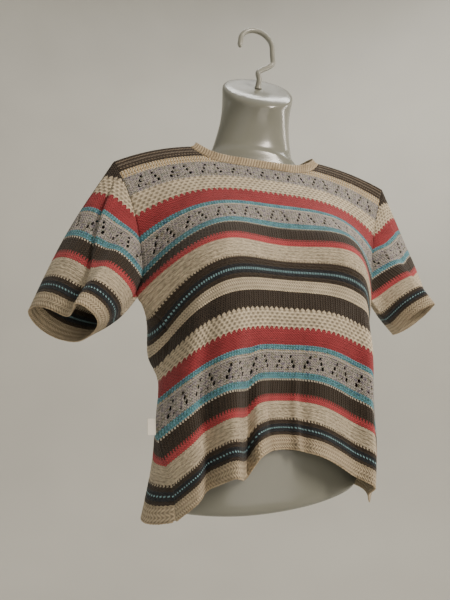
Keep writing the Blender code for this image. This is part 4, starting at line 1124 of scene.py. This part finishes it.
def make_form(plastic):
    """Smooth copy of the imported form, with its facets joined and rounded."""
    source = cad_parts["torso_form"]
    mesh = bmesh.new()
    mesh.from_mesh(source.data)
    bmesh.ops.remove_doubles(mesh, verts=mesh.verts, dist=1e-6)
    bmesh.ops.join_triangles(mesh, faces=mesh.faces, angle_face_threshold=0.9, angle_shape_threshold=1.2)
    data = bpy.data.meshes.new("smooth_form")
    mesh.to_mesh(data)
    mesh.free()
    data.materials.clear()
    data.shade_smooth()
    obj = put_in("smooth_form", data)
    round_off(obj)
    finish_piece(obj, plastic, "torso_form")


def make_hook(plastic):
    """Moulded hook: a smooth tube along the CAD hook's middle line with a rounded tip and a foot."""
    drop = -(HOOK_BEND - HOOK_RADIUS)
    path = [Vector(p) for p in HOOK_BASE]
    for k in range(13):
        angle = math.pi * k / 12
        path.append(Vector((HOOK_BEND * math.cos(angle), 0.0, drop + HOOK_BEND * math.sin(angle))))
    path += [Vector((-0.0310, 0.0, drop - 0.006)), Vector((-0.0305, 0.0, drop - 0.0125))]
    times = list(range(len(path)))
    fine = np.linspace(0, len(path) - 1, 160)
    line = np.stack([natural_spline(times, [p[i] for p in path])(fine) for i in range(3)], -1)
    sides = 20
    steps = len(line)
    tangents = unit(np.gradient(line, axis=0))
    across = np.cross(tangents[0], (0.0, 1.0, 0.0))
    across /= np.linalg.norm(across)
    rings = []
    for i in range(steps):
        across = across - tangents[i] * (across @ tangents[i])
        across /= np.linalg.norm(across)
        over = np.cross(tangents[i], across)
        radius = HOOK_RADIUS
        left = steps - 1 - i
        if left < 8:
            radius *= math.sqrt(max(0.02, 1.0 - ((8 - left) / 8.0) ** 2))
        foot = 1.0 + 0.55 * math.exp(-i / 3.0)
        for k in range(sides):
            a = 2 * math.pi * k / sides
            rings.append(line[i] + radius * foot * (across * math.cos(a) + over * math.sin(a)))
    faces = ring_faces(steps, sides)
    first, last = len(rings), len(rings) + 1
    rings += [line[0], line[-1] + tangents[-1] * 0.0003]
    for k in range(sides):
        faces.append((first, (k + 1) % sides, k))
        base = (steps - 1) * sides
        faces.append((last, base + k, base + (k + 1) % sides))
    obj = make_mesh("moulded_hook", np.array(rings), np.array(faces))
    turn_outward(obj)
    finish_piece(obj, plastic, "hook")


def make_label(satin):
    """Bare label at the side seam, finely divided and with a soft curl."""
    mesh = bmesh.new()
    mesh.from_mesh(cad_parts["side_label"].data)
    bmesh.ops.remove_doubles(mesh, verts=mesh.verts, dist=1e-6)
    bmesh.ops.dissolve_limit(mesh, angle_limit=0.02, verts=mesh.verts, edges=mesh.edges)
    bmesh.ops.subdivide_edges(mesh, edges=mesh.edges, cuts=7, use_grid_fill=True)
    low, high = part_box("side_label")
    for vert in mesh.verts:
        out = (high[0] - vert.co.x) / (high[0] - low[0])
        down = (vert.co.z - low[2]) / (high[2] - low[2])
        vert.co.y += 0.0010 * math.sin(math.pi * down) * out
    bmesh.ops.triangulate(mesh, faces=mesh.faces)
    data = bpy.data.meshes.new("satin_label")
    mesh.to_mesh(data)
    mesh.free()
    data.materials.clear()
    obj = put_in("satin_label", data)
    finish_piece(obj, satin, "side_label")
    return obj


# Room, light and camera

def make_room(plaster):
    """Pale floor that curves up all round into a wall, far from the object."""
    rings = []
    for radius, height in ROOM:
        turns = [2 * math.pi * k / ROOM_SIDES for k in range(ROOM_SIDES)]
        rings.append([(radius * math.cos(turn), radius * math.sin(turn), height) for turn in turns])
    verts = [rings[0][0]] + [v for ring in rings[1:] for v in ring]
    faces = [(0, 1 + k, 1 + (k + 1) % ROOM_SIDES) for k in range(ROOM_SIDES)]
    for base in range(1, 1 + (len(rings) - 2) * ROOM_SIDES, ROOM_SIDES):
        for k in range(ROOM_SIDES):
            a, b = base + k, base + (k + 1) % ROOM_SIDES
            faces.append((a, a + ROOM_SIDES, b + ROOM_SIDES, b))
    room = make_mesh("room", verts, faces)
    round_off(room)
    room.data.materials.append(plaster)


def add_light(name, place, aim, size, watts, code):
    """Adds a soft rectangular light, turned to the place that it is aimed at."""
    data = bpy.data.lights.new(name, "AREA")
    data.shape = "RECTANGLE"
    data.size, data.size_y = size
    data.energy = watts
    data.color = linear(code)[:3]
    light = put_in(name, data)
    light.location = place
    light.rotation_euler = (Vector(aim) - Vector(place)).to_track_quat("-Z", "Y").to_euler()


def make_lights():
    """Window from the front right, soft lights round it, one for the wall, and the room's own light."""
    add_light("window", (1.0, -1.75, 0.45), (0.0, 0.0, -0.45), (0.35, 1.1), 47.0, "#fff3e4")
    add_light("side_strip", (2.2, -0.15, 0.1), (0.0, 0.0, -0.3), (0.14, 1.5), 16.0, "#fff6ea")
    add_light("fill", (-1.4, -1.9, -0.1), (0.0, 0.0, -0.5), (1.6, 1.6), 3.0, "#eef1f5")
    add_light("low", (0.5, -2.3, -1.15), (0.0, 0.0, -0.6), (1.4, 1.0), 8.0, "#fff6ea")
    add_light("back_fill", (-2.2, 1.5, 0.5), (0.0, 0.0, -0.4), (1.2, 1.2), 14.0, "#f4f3ee")
    add_light("wall_wash", (1.3, 0.6, 3.1), (1.9, 4.2, -0.5), (3.0, 1.6), 145.0, "#f4f3ee")
    world = bpy.data.worlds.new("soft_room_light")
    world.use_nodes = True
    plug(world.node_tree, world.node_tree.nodes["Background"], {"Color": linear("#dcd8cf"), "Strength": 0.66})
    bpy.context.scene.world = world


def make_camera():
    """Camera at the place and with the lens of the photograph."""
    a, e, r = (math.radians(x) for x in (VIEW_AZIMUTH, VIEW_ELEVATION, VIEW_ROLL))
    back = Vector((math.sin(a) * math.cos(e), -math.cos(a) * math.cos(e), math.sin(e)))
    right = Vector((math.cos(a), math.sin(a), 0.0))
    up = back.cross(right)
    turned_right = right * math.cos(r) + up * math.sin(r)
    turned_up = up * math.cos(r) - right * math.sin(r)
    data = bpy.data.cameras.new("photo_view")
    data.sensor_width = 36.0
    data.lens = FOCAL / FRAME_HIGH * 36.0
    data.clip_start = 0.02
    data.clip_end = 60.0
    camera = put_in("photo_view", data)
    turn = Matrix((turned_right, turned_up, back)).transposed()
    place = Vector(VIEW_CENTRE) + right * VIEW_SIDE + back * VIEW_DISTANCE
    camera.matrix_world = Matrix.Translation(place) @ turn.to_4x4()
    bpy.context.scene.camera = camera


def main():
    """Camera, cloth and its edges, form, hook and label, and then the room."""
    make_camera()
    knit = cotton_knit()
    rib = cotton_rib()
    made = make_cloth(knit)
    neckband, band_length = make_neckband(rib)
    edge = edge_stitch_tree(rib)
    across = np.linspace(-0.985, 0.985, 160)
    hem = np.full(160, LENGTH + 0.0006)
    front_hem = lay_edge("front_hem_edge", front_point(across, hem), edge, HEM_STITCH)
    back_hem = lay_edge("back_hem_edge", back_point(across, hem), edge, HEM_STITCH)
    for side, word in ((-1, "right"), (1, "left")):
        for start, part in ((0.01, "front"), (0.51, "back")):
            turns = np.linspace(start, start + 0.48, 70)
            line = sleeve_point(side, turns * SLEEVE_ROUND, np.full(70, SLEEVE_TALL * 1.003))
            lay_edge(word + "_cuff_edge_" + part, line, edge, CUFF_STITCH)
    make_form(moulded_polystyrene("polystyrene_form", "#7d7e75", 0.2))
    make_hook(moulded_polystyrene("polystyrene_hook", "#8b8b82", 0.28))
    label = make_label(woven_label())
    make_room(painted_plaster())
    make_lights()


main()
